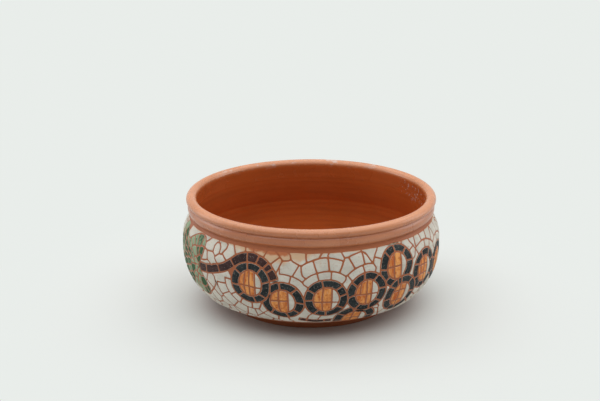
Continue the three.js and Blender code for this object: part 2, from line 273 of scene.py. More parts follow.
def owner(angle, along):
    """What is painted at a spot: (repeat, thing, number)."""
    for side, repeat in enumerate(REPEATS):
        turn = 180 * side
        for number, place in enumerate(GRAPES, 1):
            spot = to_place(place, angle, along, turn)
            if spot.length < ring_line:
                if math.hypot(spot.x / CORE_HALF.x, spot.y / CORE_HALF.y) > 1:
                    half = "_left" if spot.x < 0 else "_right"
                    return repeat, "grape_ring", f"{number}{half if number == ARC_GRAPE else ''}"
                return repeat, "grape_flesh" if spot.x < GLINT_START + JOINT / 2 else "glint", str(number)
        if distance_to_line(to_place(GRAPES[0], angle, along, turn), stem) < (STEM_WIDTH + JOINT) / 2:
            return repeat, "vine_stem", ""
        spot = to_place(LEAF, angle, along, turn)
        if spot.length < leaf_reach(math.atan2(spot.y, spot.x)) + JOINT / 2:
            return repeat, "vine_leaf", ""
        if distance_to_line(to_place(TENDRIL[0], angle, along, turn), tendril) < (TENDRIL_WIDTH + JOINT) / 2:
            return repeat, "tendril", ""
    return "", "ground", ""


print("at the middle of grape 3:", owner(*from_place(GRAPES[2], 0, 0)))

# %% [markdown]
# ## Scoring lines by hand
# The potter drew each line with a needle, so no line is quite straight or even. We draw every line as
# short segments and push all of them with one slow noise field. Lines that meet still meet after the
# push, because they feel the same field at the same spot. The noise gets a fixed seed, or each run would
# push differently.

# %% Score a line on the plan
SEGMENT = 1.5
WOBBLE = 0.35
WOBBLE_SIZE = 7.0
WOBBLE_SEED = 2

noise.seed_set(WOBBLE_SEED)
plan_points = []
plan_edges = []


def hand_drawn(spot):
    """Moves a spot of the plan a little. The noise is read round a cylinder, so it closes at the back."""
    angle = spot.x / BELLY_RADIUS
    reach = BELLY_RADIUS / WOBBLE_SIZE
    read_at = Vector((reach * math.cos(angle), reach * math.sin(angle), spot.y / WOBBLE_SIZE))
    push = noise.noise_vector(read_at)
    return spot + WOBBLE * Vector((push.x, push.y))


def score(spots, wanted):
    """Adds a line of (angle, height) spots. A segment is left out where neither of its ends is wanted."""
    flags = [wanted(*spot) for spot in spots]
    places = [plan_spot(*spot) for spot in spots]
    for i in range(len(spots) - 1):
        if flags[i] or flags[i + 1]:
            parts = max(1, round((places[i + 1] - places[i]).length / SEGMENT))
            start = len(plan_points)
            for k in range(parts + 1):
                plan_points.append(hand_drawn(places[i].lerp(places[i + 1], k / parts)))
            plan_edges.extend((start + k, start + k + 1) for k in range(parts))


print("longest stretch between two points of a line:", SEGMENT, "mm")

# %% [markdown]
# ## The edges of the slip band
# The plan is cut open at the pot's left side and reaches a little past the cut at both of its ends, so a
# piece that lies across the cut is whole at one of them. A line near the cut is scored at both ends. The
# band's lower edge is level. Its upper edge sways a little, because the pot was turned under a brush that
# was held by hand.

# %% Score the edges of the slip band
TOP_RISE, TOP_SWAY = 1.15, 0.3
PLAN_MARGIN = 14.0
SEAM = math.radians(-95)
plan_range = (SEAM - PLAN_MARGIN / BELLY_RADIUS, SEAM + 2 * math.pi + PLAN_MARGIN / BELLY_RADIUS)


def band_top(angle):
    """The slip's upper edge at one angle, or at an array of them."""
    return SLIP_STOP + TOP_RISE - TOP_SWAY * np.cos(2 * angle)


def in_band(angle, along):
    return SLIP_START <= along <= band_top(angle)


def anywhere(angle, along):
    return True


def around(spots, wanted):
    """Scores a line again a turn to the left or right, where that copy still reaches the plan."""
    for turns in (-1, 0, 1):
        turned = [(angle + 2 * math.pi * turns, along) for angle, along in spots]
        if any(plan_range[0] <= angle <= plan_range[1] for angle, along in turned):
            score(turned, wanted)


edge_steps = round(ROUND / SEGMENT)
for edge_height in (lambda angle: SLIP_START, band_top):
    angles = [plan_range[0] + (plan_range[1] - plan_range[0]) * i / edge_steps for i in range(edge_steps + 1)]
    score([(angle, edge_height(angle)) for angle in angles], anywhere)
for angle in plan_range:
    score([(angle, SLIP_START), (angle, band_top(angle))], anywhere)
band_lines = len(plan_edges)
print("points on the slip band's edges:", len(plan_points))

# %% [markdown]
# ## Rings, flesh and glints
# A grape is a dark ring round an upright oval. The oval is amber on the left and keeps a white glint on
# the right. Its joints are one or two upright cuts and one or two cross cuts. A line of a grape is left
# out where another grape lies in front, so the overlaps come by themselves.

# %% Write the cuts of a grape
RING_CUT_FIRST, RING_CUT_SHIFT, RING_CUT_LEAN = 0.4, 0.16, 0.07
CUT_FROM, CUT_TO = 0.95, 1.04
ONE_UPRIGHT, TWO_UPRIGHTS = [-1.9], [-3.6, -0.6]
UPRIGHT_SHIFT, UPRIGHT_BOW = 0.4, 0.3
UPRIGHT_PARTS, CROSS_PARTS = 12, 8
CROSS_SLOPE = 0.08
CROSS_START, CROSS_OVERSHOOT = 1.05, 0.3
MIDDLE_CROSS, LOW_CROSS, HIGH_CROSS = (-1.6, 1.6), (-3.4, -2), (1.4, 3)
EVEN_CHANCE, ONE_CROSS_CHANCE = 0.5, 0.6
glint_line = GLINT_START + JOINT / 2


def score_ring_cuts(place, turn, seen):
    """Cuts across a ring, from just inside the oval's edge to just outside the ring."""
    first = draw.uniform(0, RING_CUT_FIRST)
    for i in range(RING_PIECES):
        way = 2 * math.pi * (i + first + draw.uniform(-RING_CUT_SHIFT, RING_CUT_SHIFT)) / RING_PIECES
        lean = draw.uniform(-RING_CUT_LEAN, RING_CUT_LEAN)
        near, far = way - lean, way + lean
        inner = (CUT_FROM * CORE_HALF.x * math.cos(near), CUT_FROM * CORE_HALF.y * math.sin(near))
        outer = (CUT_TO * ring_line * math.cos(far), CUT_TO * ring_line * math.sin(far))
        around([from_place(place, *inner, turn), from_place(place, *outer, turn)], seen)


def score_upright(place, turn, across, bow, in_core):
    """A cut from the oval's foot to its top. A bow leans both of its ends in to the oval's middle line."""
    line = []
    for i in range(UPRIGHT_PARTS + 1):
        share = 2 * i / UPRIGHT_PARTS - 1
        line.append(from_place(place, across * (1 - bow * share ** 2), share * CORE_HALF.y, turn))
    around(line, in_core)


def score_cross(place, turn, up, in_core):
    """A cut across the oval, which stops at the glint's edge or goes on through the glint."""
    stop = glint_line if draw.random() < EVEN_CHANCE else CORE_HALF.x
    slope = draw.uniform(-CROSS_SLOPE, CROSS_SLOPE)
    start = -CROSS_START * CORE_HALF.x
    line = []
    for i in range(CROSS_PARTS + 1):
        across = start + (stop - start + CROSS_OVERSHOOT) * i / CROSS_PARTS
        line.append(from_place(place, across, up + slope * across, turn))
    around(line, in_core)


def cross_heights():
    """One cut near the oval's middle, or one below it and one above."""
    if draw.random() < ONE_CROSS_CHANCE:
        return [draw.uniform(*MIDDLE_CROSS)]
    return [draw.uniform(*LOW_CROSS), draw.uniform(*HIGH_CROSS)]


print("the glint's edge lies", glint_line, "mm right of a grape's middle")

# %% Score the grapes
def circle_spots(place, half_width, half_height, turn):
    parts = round(math.pi * (half_width + half_height) / SEGMENT)
    spots = []
    for i in range(parts + 1):
        way = 2 * math.pi * i / parts
        spots.append(from_place(place, half_width * math.cos(way), half_height * math.sin(way), turn))
    return spots


def score_grape(number, place, side):
    turn = 180 * side

    def seen(angle, along):
        return in_band(angle, along) and not in_front_grape(angle, along, number, side)

    def in_core(angle, along):
        spot = to_place(place, angle, along, turn)
        return seen(angle, along) and math.hypot(spot.x / CORE_HALF.x, spot.y / CORE_HALF.y) < 1

    around(circle_spots(place, ring_line, ring_line, turn), seen)
    around(circle_spots(place, CORE_HALF.x, CORE_HALF.y, turn), seen)
    score_ring_cuts(place, turn, seen)
    uprights = ONE_UPRIGHT if draw.random() < EVEN_CHANCE else TWO_UPRIGHTS
    score_upright(place, turn, glint_line, 0.0, in_core)
    for across in uprights:
        shift = draw.uniform(-UPRIGHT_SHIFT, UPRIGHT_SHIFT)
        score_upright(place, turn, across + shift, UPRIGHT_BOW, in_core)
    for up in cross_heights():
        score_cross(place, turn, up, in_core)


for side in range(len(REPEATS)):
    for number, place in enumerate(GRAPES, 1):
        score_grape(number, place, side)
print("points after the grapes:", len(plan_points))

# %% [markdown]
# ## Stem, tendril and leaf
# The stem and the tendril are strips: their two sides and a few cross cuts. The leaf is filled as a fan.
# Courses spread from the stalk's notch, and each course is cut into narrow pieces, so the pieces point
# along the veins.

# %% Write how a strip is scored
STRIP_CUT_SHIFT = 0.25
STRIP_OVERSHOOT = 0.04


def strip_sides(line, width):
    """The two sides of a strip, at half its width on either side of the middle line."""
    sides = [[], []]
    for i, spot in enumerate(line):
        ahead, behind = line[min(i + 1, len(line) - 1)], line[max(i - 1, 0)]
        square = Vector((behind.y - ahead.y, ahead.x - behind.x)).normalized() * width / 2
        sides[0].append(spot + square)
        sides[1].append(spot - square)
    return sides


def score_strip(line, origin, width, pieces, turn, seen):
    sides = strip_sides(line, width + JOINT)
    for strip in sides:
        around([from_place(origin, *spot, turn) for spot in strip], seen)
    for i in range(pieces + 1):
        share = i / pieces * (len(line) - 1)
        if 0 < i < pieces:
            share += draw.uniform(-STRIP_CUT_SHIFT, STRIP_CUT_SHIFT) * len(line) / pieces
        at = min(int(share), len(line) - 2)
        low, high = (strip[at].lerp(strip[at + 1], share - at) for strip in sides)
        overshoot = (high - low) * STRIP_OVERSHOOT
        ends = [low - overshoot, high + overshoot]
        around([from_place(origin, *spot, turn) for spot in ends], seen)


print("pieces in the stem:", STEM_PIECES, "and in the tendril:", TENDRIL_PIECES)

# %% Score the stem, the tendril and the leaf
LEAF_WAVES = 5
FEWEST_RAYS = 5
RAY_PLACE = (0.3, 0.7)
RAY_BEND = 2
LEAF_COURSE = 5.3
LEAF_PIECE = 3.5
LEAF_RIPPLE = 0.8
RAY_OVERSHOOT = 0.9
FAN_START, FAN_SPREAD = math.radians(50), math.radians(260)
EDGE_PARTS, ARC_PARTS = 120, 60
stalk = Vector((math.cos(LEAF_TILT), math.sin(LEAF_TILT))) * leaf_reach(LEAF_TILT)
leaf_courses = math.ceil(LEAF_LENGTH / LEAF_COURSE)


def fan_spot(way, reach, turn):
    """A spot of the leaf from its direction and its distance from the stalk."""
    spot = stalk + reach * Vector((math.cos(way), math.sin(way)))
    return from_place(LEAF, spot.x, spot.y, turn)


def score_leaf_edge(turn):
    """The leaf's outline, half a joint outside its edge."""
    edge = []
    for i in range(EDGE_PARTS + 1):
        way = 2 * math.pi * i / EDGE_PARTS
        reach = leaf_reach(way) + JOINT / 2
        edge.append(from_place(LEAF, reach * math.cos(way), reach * math.sin(way), turn))
    around(edge, in_band)


def score_leaf(turn):
    """The outline, then the arcs between the courses, then the rays that cut each course into pieces."""

    def seen(angle, along):
        spot = to_place(LEAF, angle, along, turn)
        return in_band(angle, along) and spot.length < leaf_reach(math.atan2(spot.y, spot.x)) + JOINT / 2

    score_leaf_edge(turn)
    for course in range(1, leaf_courses):
        arc = []
        for i in range(ARC_PARTS + 1):
            way = FAN_START + FAN_SPREAD * i / ARC_PARTS
            ripple = LEAF_RIPPLE * math.sin(LEAF_WAVES * way + course)
            arc.append(fan_spot(way, course * LEAF_COURSE + ripple, turn))
        around(arc, seen)
    for course in range(leaf_courses):
        near, far = course * LEAF_COURSE, (course + 1) * LEAF_COURSE
        rays = max(FEWEST_RAYS, round(FAN_SPREAD * (near + far) / 2 / LEAF_PIECE))
        for i in range(rays):
            way = FAN_START + FAN_SPREAD * (i + draw.uniform(*RAY_PLACE)) / rays
            reaches = (max(near - RAY_OVERSHOOT, 0.0), near + RAY_BEND, far - RAY_BEND, far + RAY_OVERSHOOT)
            around([fan_spot(way, reach, turn) for reach in reaches], seen)


def outside_grapes(angle, along):
    return in_band(angle, along) and min(grape_distances(angle, along))[0] > ring_line


for side in range(len(REPEATS)):
    score_strip(stem, GRAPES[0], STEM_WIDTH, STEM_PIECES, 180 * side, outside_grapes)
    score_strip(tendril, TENDRIL[0], TENDRIL_WIDTH, TENDRIL_PIECES, 180 * side, outside_grapes)
    score_leaf(180 * side)
print("points after the vine:", len(plan_points))

# %% [markdown]
# ## The white ground
# Two courses of white pieces follow the bunch like ripples, with cuts across them. The ripples keep a few
# millimetres away from the stem, the tendril and the leaf, because a needle would not squeeze slivers in
# there.

# %% Find the free ground
COURSES = (4.2, 10.6)
COURSE_PIECE = 6.9
VINE_MARGIN = 3.0


def free_ground(angle, along):
    return in_band(angle, along) and owner(angle, along)[1] == "ground"


def clear_of_vine(angle, along):
    """Whether a spot is on free ground and a few millimetres away from the stem, the tendril and the leaf."""
    if not free_ground(angle, along):
        return False
    for turn in (0, 180):
        to_stem = distance_to_line(to_place(GRAPES[0], angle, along, turn), stem) - STEM_WIDTH / 2
        to_tendril = distance_to_line(to_place(TENDRIL[0], angle, along, turn), tendril) - TENDRIL_WIDTH / 2
        spot = to_place(LEAF, angle, along, turn)
        to_leaf = spot.length - leaf_reach(math.atan2(spot.y, spot.x))
        if min(to_stem, to_tendril, to_leaf) < VINE_MARGIN:
            return False
    return True


def nearest_grape(angle, along):
    return min(grape_distances(angle, along))


print("the courses end at", COURSES, "mm from the rings")

# %% Write the courses and the valleys between grapes
COURSE_CUT_SHIFT, COURSE_CUT_LEAN = 0.18, 0.03
COURSE_CUT = (-0.1, 0.35, 0.65, 1.1)
VALLEY_START, VALLEY_OVERSHOOT = 0.5, 0.8
VALLEY_PARTS = 4


def score_courses(number, place, side):
    """Two ripples round a grape and the cuts across them, where no other grape is nearer."""
    turn = 180 * side
    me = (REPEATS[side], number)

    def on_ripple(angle, along):
        return clear_of_vine(angle, along) and nearest_grape(angle, along)[1:] == me

    def across_ripple(angle, along):
        return free_ground(angle, along) and nearest_grape(angle, along)[1:] == me

    inner = 0.0
    for course in COURSES:
        depth = course - inner
        around(circle_spots(place, ring_line + course, ring_line + course, turn), on_ripple)
        cuts = round(2 * math.pi * (ring_line + course - depth / 2) / COURSE_PIECE)
        first = draw.random()
        for i in range(cuts):
            way = 2 * math.pi * (i + first + draw.uniform(-COURSE_CUT_SHIFT, COURSE_CUT_SHIFT)) / cuts
            lean = draw.uniform(-COURSE_CUT_LEAN, COURSE_CUT_LEAN)
            line = []
            for share in COURSE_CUT:
                away = ring_line + inner + share * depth
                turned = way + lean * (2 * share - 1)
                line.append(from_place(place, away * math.cos(turned), away * math.sin(turned), turn))
            around(line, across_ripple)
        inner = course


def score_valley(first, second, side):
    """Cuts the ground between two neighbouring grapes, from where they touch outwards on both sides."""
    turn = 180 * side
    pair = {(REPEATS[side], first + 1), (REPEATS[side], second + 1)}
    there = to_place(GRAPES[first], *from_place(GRAPES[second], 0, 0))
    reach = there.length / 2
    if reach >= ring_line + COURSES[0]:
        return

    def between(angle, along):
        return free_ground(angle, along) and nearest_grape(angle, along)[1:] in pair

    square = Vector((-there.y, there.x)).normalized()
    near = math.sqrt(max(ring_line ** 2 - reach ** 2, 0.0))
    far = math.sqrt((ring_line + COURSES[-1]) ** 2 - reach ** 2)
    for way in (-1, 1):
        line = []
        for i in range(VALLEY_PARTS + 1):
            out = near - VALLEY_START + (far + VALLEY_OVERSHOOT - near) * i / VALLEY_PARTS
            spot = there / 2 + way * out * square
            line.append(from_place(GRAPES[first], spot.x, spot.y, turn))
        around(line, between)


for side in range(len(REPEATS)):
    for number, place in enumerate(GRAPES, 1):
        score_courses(number, place, side)
    for first in range(len(GRAPES)):
        for second in range(first + 1, len(GRAPES)):
            score_valley(first, second, side)
print("points after the courses:", len(plan_points))

# %% [markdown]
# ## Crooked cells
# Beyond the courses the ground is broken into crooked cells of about the same size. A Voronoi pattern
# gives such cells: every cell holds the spots that lie nearest to its own seed. Blender's Delaunay
# function finds the triangles between the seeds, and the middles of their circumcircles are the corners
# of the cells.

# %% Write the seeds of the cells
CELL = 6.7
JITTER = 0.3
SPARE_ROWS = 2


def cell_seeds():
    """Seeds in staggered rows, each moved at random, with the same seeds a turn to the left and right."""
    columns = round(ROUND / CELL)
    across, up = ROUND / columns, CELL * math.sqrt(3) / 2
    low, high = plan_spot(0, SLIP_START).y, plan_spot(0, SLIP_STOP).y
    seeds = []
    for row in range(-SPARE_ROWS, math.ceil((high - low) / up) + SPARE_ROWS + 1):
        for column in range(columns):
            x = (column + row % 2 / 2 + draw.uniform(-JITTER, JITTER)) * across - ROUND / 2
            y = low + (row + draw.uniform(-JITTER, JITTER)) * up
            seeds += [Vector((x + ROUND * turns, y)) for turns in (-1, 0, 1)]
    return seeds


def circle_middle(a, b, c):
    """The middle of the circle through three points."""
    ab, ac = b - a, c - a
    twice = 2 * ab.cross(ac)
    x = (ac.y * ab.length_squared - ab.y * ac.length_squared) / twice
    y = (ab.x * ac.length_squared - ac.x * ab.length_squared) / twice
    return a + Vector((x, y))


def beyond_courses(angle, along):
    return free_ground(angle, along) and nearest_grape(angle, along)[0] > ring_line + COURSES[-1]


print("a row of cells has", round(ROUND / CELL), "of them")

# %% Score the crooked cells
CELL_MARGIN = 9.0
SAME_SEED = 1e-4

seeds, _, triangles, _, _, _ = delaunay_2d_cdt(cell_seeds(), [], [], 0, SAME_SEED)
middles = [circle_middle(*(seeds[i] for i in triangle)) for triangle in triangles]
sides_of = {}
for index, triangle in enumerate(triangles):
    for a, b in zip(triangle, triangle[1:] + triangle[:1]):
        sides_of.setdefault(frozenset((a, b)), []).append(index)
plan_left, plan_right = (angle * BELLY_RADIUS for angle in plan_range)


def near_plan(start, end):
    """Whether a cell's side starts between the plan's ends and lies within its height and a little above."""
    low, high = min(start.y, end.y), max(start.y, end.y)
    return plan_left < start.x < plan_right and low > 0 and high < plan_up[-1] + CELL_MARGIN


for pair in sides_of.values():
    if len(pair) == 2:
        start, end = (middles[index] for index in pair)
        if near_plan(start, end):
            parts = max(1, round((end - start).length / SEGMENT))
            score([pot_spot(start.lerp(end, k / parts)) for k in range(parts + 1)], beyond_courses)
print("points after the ground:", len(plan_points))

# %% [markdown]
# ## From lines to pieces
# The lines now become a mesh. A constrained Delaunay triangulation makes every line an edge of some
# triangles and adds a vertex wherever two lines cross. The triangles outside the slip band are found by
# spreading from the plan's border until the band's own edge stops us. Dissolving all edges that no line
# needs then leaves one face for each scored piece. A line that ends inside a piece divides nothing, so it
# is taken back first.

# %% Turn the lines into a mesh of triangles
SAME_SPOT = 0.02
points, edges, faces, _, edge_sources, _ = delaunay_2d_cdt(plan_points, plan_edges, [], 0, SAME_SPOT)
plan = bmesh.new()
owner_layer = plan.faces.layers.int.new("owner")
edge_layer = plan.verts.layers.float.new("edge")
tone_layer = plan.verts.layers.float.new("tone")
plan_verts = [plan.verts.new((spot.x, spot.y, 0)) for spot in points]
for face in faces:
    plan.faces.new([plan_verts[i] for i in face])
scored = set()
band_edges = set()
for (a, b), sources in zip(edges, edge_sources):
    edge = plan.edges.get((plan_verts[a], plan_verts[b]))
    if sources and edge:
        scored.add(edge)
        if min(sources) < band_lines:
            band_edges.add(edge)
print("triangles:", len(plan.faces), "with", len(scored), "scored edges")

# %% Dissolve what no line needs
SHORT = 0.45


def loose_ends(scored):
    """The scored edges with an end that no other scored edge meets."""
    return [edge for edge in scored if any(sum(e in scored for e in v.link_edges) == 1 for v in edge.verts)]


def reached_from_border(walls):
    """The faces that can be reached from the plan's border without crossing a wall."""
    waiting = [face for face in plan.faces if any(edge.is_boundary for edge in face.edges)]
    reached = set(waiting)
    while waiting:
        for edge in waiting.pop().edges:
            if edge not in walls:
                fresh = [face for face in edge.link_faces if face not in reached]
                reached.update(fresh)
                waiting += fresh
    return reached


bmesh.ops.delete(plan, geom=list(reached_from_border(band_edges)), context="FACES")
scored = {edge for edge in scored if edge.is_valid}
while loose_ends(scored):
    scored.difference_update(loose_ends(scored))
bmesh.ops.dissolve_edges(plan, edges=[edge for edge in plan.edges if edge not in scored], use_verts=False)
bmesh.ops.dissolve_degenerate(plan, dist=SHORT, edges=plan.edges[:])
print("faces on the plan:", len(plan.faces))

# %% [markdown]
# ## Tidying the pieces
# Each face gets the number of its owner, which is the thing that holds most of its area. A needle would
# not cut a crumb or a sliver off a piece, so those are joined to the neighbour of their own colour with
# which they share the longest edge. Pieces of the extra strip beyond the seam are there twice, and one of
# the two is removed.

# %% Give every face its owner
owner_names = [None]


def owner_number(face):
    """The number of the face's owner in the list of names, which grows as owners are met. 0 is none."""
    votes = {}
    corners = [vert.co for vert in face.verts]
    for triangle in tessellate_polygon([corners]):
        a, b, c = (corners[i] for i in triangle)
        spot = pot_spot((a + b + c) / 3)
        name = owner(*spot) if in_band(*spot) else None
        votes[name] = votes.get(name, 0) + area_tri(a, b, c)
    winner = max(votes, key=votes.get)
    if winner not in owner_names:
        owner_names.append(winner)
    return owner_names.index(winner)


for face in plan.faces:
    face[owner_layer] = owner_number(face)
print("owners:", len(owner_names) - 1)

# %% Join crumbs to their neighbours
SMALLEST = {"ground": 8.0, "grape_ring": 4.5, "grape_flesh": 4.0, "glint": 4.0,
            "vine_leaf": 5.0, "vine_stem": 4.0, "tendril": 3.0}
THINNEST = 2.8


def real_area(face):
    """A face's area on the pot, where the plan's stretch is taken away again."""
    angle, along = pot_spot(face.calc_center_median_weighted())
    return face.calc_area() * (radius_at(along) / BELLY_RADIUS) ** 2


def joins_of(face):
    """The neighbours with the same owner, each with the edges that they share with the face."""
    shared = {}
    for edge in face.edges:
        for other in edge.link_faces:
            if other is not face and other[owner_layer] == face[owner_layer]:
                shared.setdefault(other, []).append(edge)
    return list(shared.values())


def is_crumb(face):
    name = owner_names[face[owner_layer]]
    width = 4 * face.calc_area() / face.calc_perimeter()
    return bool(name) and (real_area(face) < SMALLEST[name[1]] or width < THINNEST)


def next_crumb():
    """The smallest piece that is a crumb and has a neighbour to join."""
    crumbs = [face for face in plan.faces if is_crumb(face) and joins_of(face)]
    return min(crumbs, key=real_area, default=None)


def total_length(edges):
    return sum(edge.calc_length() for edge in edges)


def is_spare(face):
    """Whether a piece lies past the seam, where each piece is there for the second time."""
    return not 0 <= face.calc_center_median().x / BELLY_RADIUS - SEAM < 2 * math.pi


crumb = next_crumb()
while crumb:
    bmesh.ops.dissolve_edges(plan, edges=max(joins_of(crumb), key=total_length), use_verts=True)
    crumb = next_crumb()
print("faces after joining crumbs:", len(plan.faces))

spare = [face for face in plan.faces if is_spare(face)]
loose = [face for face in plan.faces if face[owner_layer] == 0 and face not in spare]
bmesh.ops.delete(plan, geom=spare + loose, context="FACES")
print("pieces in one turn of the belly:", len(plan.faces))

# %% [markdown]
# ## Opening the joints
# Each face is drawn in from its neighbours by half the width of the needle's groove, which is not the
# same everywhere. Blender's inset pushes a vertex that lies close to a sharp corner past that corner, so
# the outline crosses itself there. Such an edge has turned round, which is easy to see, and its vertices
# are welded together. The rims between the pieces are deleted, because the bare clay shows there.

# %% Write an inset that mends its folds
INSET_STEP = 0.04


def folded_verts(face, before):
    """The vertices that an inset pushed past a corner, each with the corner that it is to be welded to."""
    verts = list(face.verts)
    kept = list(range(len(verts)))
    welds = {}
    found = True
    while found and len(kept) > 3:
        found = False
        for k, i in enumerate(kept):
            j = kept[(k + 1) % len(kept)]
            if (verts[j].co - verts[i].co).dot(before[j] - before[i]) < 0:
                near, far = sorted((i, j), key=lambda n: (verts[n].co - before[n]).length)
                welds[verts[near]] = verts[far]
                kept.remove(near)
                found = True
                break
    for vert in welds:
        while welds[vert] in welds:
            welds[vert] = welds[welds[vert]]
    return welds


def draw_in(widths, rise=0.0):
    """Draws faces in from their outlines, each by its own width, and raises them. Returns the rims."""
    groups = {}
    for face, width in widths.items():
        groups.setdefault(round(width / INSET_STEP), []).append(face)
    rims, welds = [], {}
    for size, faces in groups.items():
        before = [[vert.co.copy() for vert in face.verts] for face in faces]
        made = bmesh.ops.inset_individual(
            plan, faces=faces, thickness=max(size, 1) * INSET_STEP, depth=rise, use_even_offset=True)
        rims += made["faces"]
        for face, spots in zip(faces, before):
            welds.update(folded_verts(face, spots))
    bmesh.ops.weld_verts(plan, targetmap=welds)
    return [rim for rim in rims if rim.is_valid], len(welds)


print("inset widths are rounded to", INSET_STEP, "mm")

# %% Open the joints between the pieces
GROOVE_HALF = 0.35
GROOVE_RANGE = (0.85, 1.25)
LEAST_PIECE = 1.5

half_joints = {}
for face in plan.faces:
    angle, along = pot_spot(face.calc_center_median_weighted())
    half_joints[face] = GROOVE_HALF * draw.uniform(*GROOVE_RANGE) * BELLY_RADIUS / radius_at(along)
rims, welded = draw_in(half_joints)
bmesh.ops.delete(plan, geom=rims, context="FACES")
for face in plan.faces:
    face.normal_update()
slivers = [face for face in plan.faces if face.normal.z < 0 or face.calc_area() < LEAST_PIECE]
bmesh.ops.delete(plan, geom=slivers, context="FACES")
print("slivers that the needle took away:", len(slivers))
print("pieces:", len(plan.faces), "vertices welded at sharp corners:", welded)

# %% [markdown]
# ## Rounding the corners
# A needle leaves no knife-sharp corner. Each sharp vertex is bevelled with two segments. A bevel needs
# room on both sides, so vertices that lie too close to a corner on a straight stretch are dissolved
# first.

# %% Round the corners of the pieces
CORNER = 0.5
SHARP_CORNER = math.radians(145)
CROWDED, ROOMY = 2.4 * CORNER, 2.1 * CORNER


def sharp_corners():
    return {corner.vert for face in plan.faces for corner in face.loops if corner.calc_angle() < SHARP_CORNER}


sharp = sharp_corners()
crowding = set()
for vert in sharp:
    for edge in vert.link_edges:
        other = edge.other_vert(vert)
        if edge.calc_length() < CROWDED and other not in sharp:
            crowding.add(other)
bmesh.ops.dissolve_verts(plan, verts=list(crowding))
sharp = sharp_corners()
roomy = [vert for vert in sharp if min(edge.calc_length() for edge in vert.link_edges) > ROOMY]
bmesh.ops.bevel(plan, geom=roomy, offset=CORNER, offset_type="OFFSET", segments=2, profile=0.5,
                affect="VERTICES", clamp_overlap=False, material=-1)
print("corners rounded:", len(roomy), "of", len(sharp))

# %% [markdown]
# ## Shoulders
# Slip and colour thin out towards a scored joint, so a piece has low, soft shoulders. Three more insets
# make them, each with a width, a rise and a value from 0 to 1 that says how far inward it lies. The value
# is written on the vertices, and the materials read it later, to leave the pale margin that the brush
# left round the dark pieces. A narrow piece has room for less, so its insets are narrower.

# %% Give the pieces their shoulders
SHOULDERS = [(0.12, 0.17, 0.3), (0.16, 0.08, 0.65), (0.28, 0.02, 1.0)]
NARROW_SHARE = 0.7
shoulder_width = sum(width for width, rise, inward in SHOULDERS)


def shoulder_share(face):
    return min(1, NARROW_SHARE * face.calc_area() / face.calc_perimeter() / shoulder_width)


for face in plan.faces:
    tone = draw.random()
    for vert in face.verts:
        vert[tone_layer] = tone
pieces = plan.faces[:]
shares = {face: shoulder_share(face) for face in pieces}
for width, rise, inward in SHOULDERS:
    draw_in({face: width * shares[face] for face in pieces}, rise)
    pieces = [face for face in pieces if face.is_valid]
    for face in pieces:
        for vert in face.verts:
            vert[edge_layer] = inward
print("pieces with shoulders:", len(pieces), "of", len(shares))

# %% [markdown]
# ## Cutting for the bend
# A flat face can't follow a round pot, so the level top of each piece is cut into strips about three
# millimetres wide in both directions before it is bent. The cuts are made by bisecting with planes, which
# leaves the outlines as they are. The shoulders need no cuts, because their outlines already have a
# vertex every millimetre or two.

# %% Write the cut into strips
STRIP = 3.0
TOUCHING = 0.001
CUT_REACH = 1e-5


def next_line(face, axis):
    """The number of the first grid line that runs across a face, or None."""
    places = [vert.co[axis] / STRIP for vert in face.verts]
    line = math.floor(min(places) + TOUCHING) + 1
    return line if line < max(places) - TOUCHING else None


def cut_into_strips(body):
    """Cuts the level tops along the grid, line by line. A cut gets only the faces that its line crosses."""
    edge_layer = body.verts.layers.float["edge"]
    for axis, direction in enumerate((Vector((1, 0, 0)), Vector((0, 1, 0)))):
        waiting = {}
        for face in body.faces:
            if min(vert[edge_layer] for vert in face.verts) == SHOULDERS[-1][2]:
                waiting.setdefault(next_line(face, axis), []).append(face)
        waiting.pop(None, None)
        while waiting:
            line = min(waiting)
            parts = set(waiting.pop(line))
            for face in list(parts):
                parts.update(face.edges)
                parts.update(face.verts)
            spot = direction * line * STRIP
            made = bmesh.ops.bisect_plane(
                body, geom=list(parts), dist=CUT_REACH, plane_co=spot, plane_no=direction)
            for part in made["geom"]:
                following = next_line(part, axis) if isinstance(part, bmesh.types.BMFace) else None
                if following and following > line:
                    waiting.setdefault(following, []).append(part)


print("strips round the whole belly:", round(ROUND / STRIP))

# %% [markdown]
# ## Wrapping the pieces round the pot
# Under the slip the clay stands a little proud of the bare foot and neck, because the coat was laid in a
# shallow swelling of the belly. The height over the belly's curve fades to nothing at the neck and at the
# bare strip near the foot. The pieces themselves thin out towards the slip's upper edge, where the brush
# was lifted. These sums are done for all vertices of a mesh at once, as numpy arrays, because the pieces
# have many thousands of them.

# %% Say how high the clay and the pieces stand
CLAY_RISE = 0.8
RISE_FROM, RISE_TO = 6.5, 14.5
FALL_FROM, FALL_TO = 47.0, 58.8
THIN_OVER = 3.0
THINNEST_SLIP = 0.3


def ease(share):
    """A smooth step from 0 to 1."""
    share = np.clip(share, 0, 1)
    return share * share * (3 - 2 * share)


def clay_rise(along):
    up = ease((along - RISE_FROM) / (RISE_TO - RISE_FROM))
    return CLAY_RISE * up * (1 - ease((along - FALL_FROM) / (FALL_TO - FALL_FROM)))


def on_belly(along, rise):
    """The radius and height of spots that lie a little above the belly's curve."""
    radius, height = (np.interp(along, belly_along, belly[:, k]) for k in (0, 1))
    out, up = (np.interp(along, belly_along, belly_slope[:, k]) for k in (0, 1))
    steep = np.hypot(out, up)
    return radius + rise * up / steep, height - rise * out / steep


print("the coat's highest spot above the curve:", round(CLAY_RISE + sum(s[1] for s in SHOULDERS), 2), "mm")

# %% [markdown]
# ## From flat pieces to closed bodies
# The pieces of one owner become one object. They are copied out of the plan and extruded: the copy stays
# on top and the original sinks into the clay, so each piece is a closed body whose underside is never
# seen. Then every vertex goes to its place round the pot. It also gets a value that says how far the slip
# has faded there: at its upper edge, and down a broad stain left of the middle, where the coat was so
# thin that it burnt peach.

